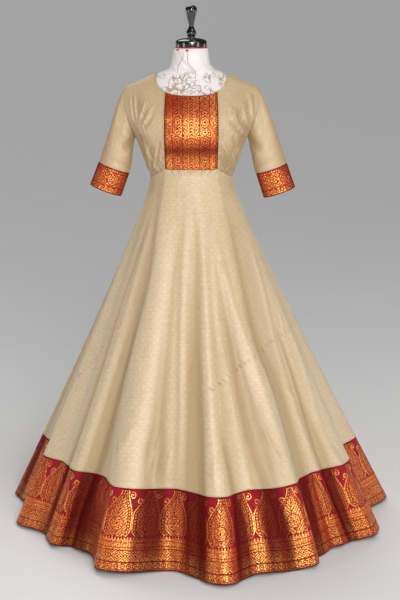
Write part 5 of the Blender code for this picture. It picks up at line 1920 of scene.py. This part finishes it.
def silk(context):
    """The silk finish, made once and shared by every piece of silk."""
    made = bpy.data.materials.get("cream_silk_woven")
    if made is None:
        made = silk_finish(context.scene.gown_colours, context.scene.gown_sizes)
        made.name = "cream_silk_woven"
    return made


class GOWN_OT_bodice(bpy.types.Operator):
    """Dress the two front pieces and the back of the bodice"""

    bl_idname = "gown.bodice"
    bl_label = "Bodice"

    def execute(self, context):
        sizes = context.scene.gown_sizes
        fronts = (
            ("bodice_front_right", -1.0, RIGHT_FRONT_CREASES, RIGHT_FRONT_PAINTED_SHADE),
            ("bodice_front_left", 1.0, LEFT_FRONT_CREASES, LEFT_FRONT_PAINTED_SHADE),
        )
        for name, side, table, painted_shades in fronts:
            dress_bodice_front(name, side, table, painted_shades, sizes, silk(context))
        dress_bodice_back(sizes, silk(context))
        return {"FINISHED"}


class GOWN_OT_yoke(bpy.types.Operator):
    """Dress the brocade panel of the front yoke"""

    bl_idname = "gown.yoke"
    bl_label = "Yoke panel"

    def execute(self, context):
        finish = zari_finish("yoke_brocade", yoke_mask, context.scene.gown_colours)
        dress_yoke(context.scene.gown_sizes, finish)
        return {"FINISHED"}


class GOWN_OT_sleeves(bpy.types.Operator):
    """Dress both sleeves and their brocade cuffs"""

    bl_idname = "gown.sleeves"
    bl_label = "Sleeves and cuffs"

    def execute(self, context):
        finish = zari_finish("cuff_brocade", cuff_mask, context.scene.gown_colours)
        for row in SLEEVES:
            dress_sleeve(row, context.scene.gown_sizes, silk(context))
            dress_cuff(row, finish)
        return {"FINISHED"}


class GOWN_OT_skirt(bpy.types.Operator):
    """Dress both halves of the skirt"""

    bl_idname = "gown.skirt"
    bl_label = "Skirt"

    def execute(self, context):
        sizes = context.scene.gown_sizes
        dress_skirt("front", sizes, silk(context))
        dress_skirt("back", sizes, silk(context))
        return {"FINISHED"}


class GOWN_OT_border(bpy.types.Operator):
    """Dress both halves of the brocade hem border"""

    bl_idname = "gown.border"
    bl_label = "Hem border"

    def execute(self, context):
        colours, sizes = context.scene.gown_colours, context.scene.gown_sizes
        finish = zari_finish("border_brocade", border_mask, colours, sizes.paisley_repeat)
        dress_border("front", sizes, finish)
        dress_border("back", sizes, finish)
        return {"FINISHED"}


class GOWN_OT_form(bpy.types.Operator):
    """Dress the form: covered torso, rim, cap, finial, pins, pole and base"""

    bl_idname = "gown.form"
    bl_label = "Dress form"

    def execute(self, context):
        colours = context.scene.gown_colours
        dress_torso(context.scene.gown_sizes, cover_finish(colours))
        dress_neck(colours)
        dress_stand(colours)
        return {"FINISHED"}


class GOWN_OT_stage(bpy.types.Operator):
    """Set up the floor, the lights and the camera"""

    bl_idname = "gown.stage"
    bl_label = "Stage"

    def execute(self, context):
        stage = context.scene.gown_stage
        add_floor(floor_finish(context.scene.gown_colours))
        add_world(stage.world)
        add_lights(stage)
        add_camera()
        context.scene.view_settings.view_transform = "Standard"
        return {"FINISHED"}


class GOWN_PT_panel(bpy.types.Panel):
    """Lists the gown's operators and settings"""

    bl_label = "Anarkali gown"
    bl_idname = "GOWN_PT_panel"
    bl_space_type = "VIEW_3D"
    bl_region_type = "UI"
    bl_category = "Gown"

    def draw(self, context):
        for operator in OPERATORS:
            self.layout.operator(operator.bl_idname)
        for group in (context.scene.gown_sizes, context.scene.gown_colours, context.scene.gown_stage):
            for setting in group.bl_rna.properties:
                if setting.identifier not in ("rna_type", "name"):
                    self.layout.prop(group, setting.identifier)


OPERATORS = (
    GOWN_OT_bodice,
    GOWN_OT_yoke,
    GOWN_OT_sleeves,
    GOWN_OT_skirt,
    GOWN_OT_border,
    GOWN_OT_form,
    GOWN_OT_stage,
)
GROUPS = (
    ("gown_sizes", GownSizes),
    ("gown_colours", GownColours),
    ("gown_stage", StageSettings),
)


def register():
    """Registers the settings, the operators and the panel."""
    for name, group in GROUPS:
        bpy.utils.register_class(group)
        setattr(bpy.types.Scene, name, bpy.props.PointerProperty(type=group))
    for operator in OPERATORS:
        bpy.utils.register_class(operator)
    bpy.utils.register_class(GOWN_PT_panel)


def unregister():
    """Takes them away again, last first."""
    bpy.utils.unregister_class(GOWN_PT_panel)
    for operator in reversed(OPERATORS):
        bpy.utils.unregister_class(operator)
    for name, group in reversed(GROUPS):
        delattr(bpy.types.Scene, name)
        bpy.utils.unregister_class(group)


def main():
    """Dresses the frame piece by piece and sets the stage."""
    register()
    bpy.ops.gown.bodice()
    bpy.ops.gown.yoke()
    bpy.ops.gown.sleeves()
    bpy.ops.gown.skirt()
    bpy.ops.gown.border()
    bpy.ops.gown.form()
    bpy.ops.gown.stage()


if __name__ == "__main__":
    main()
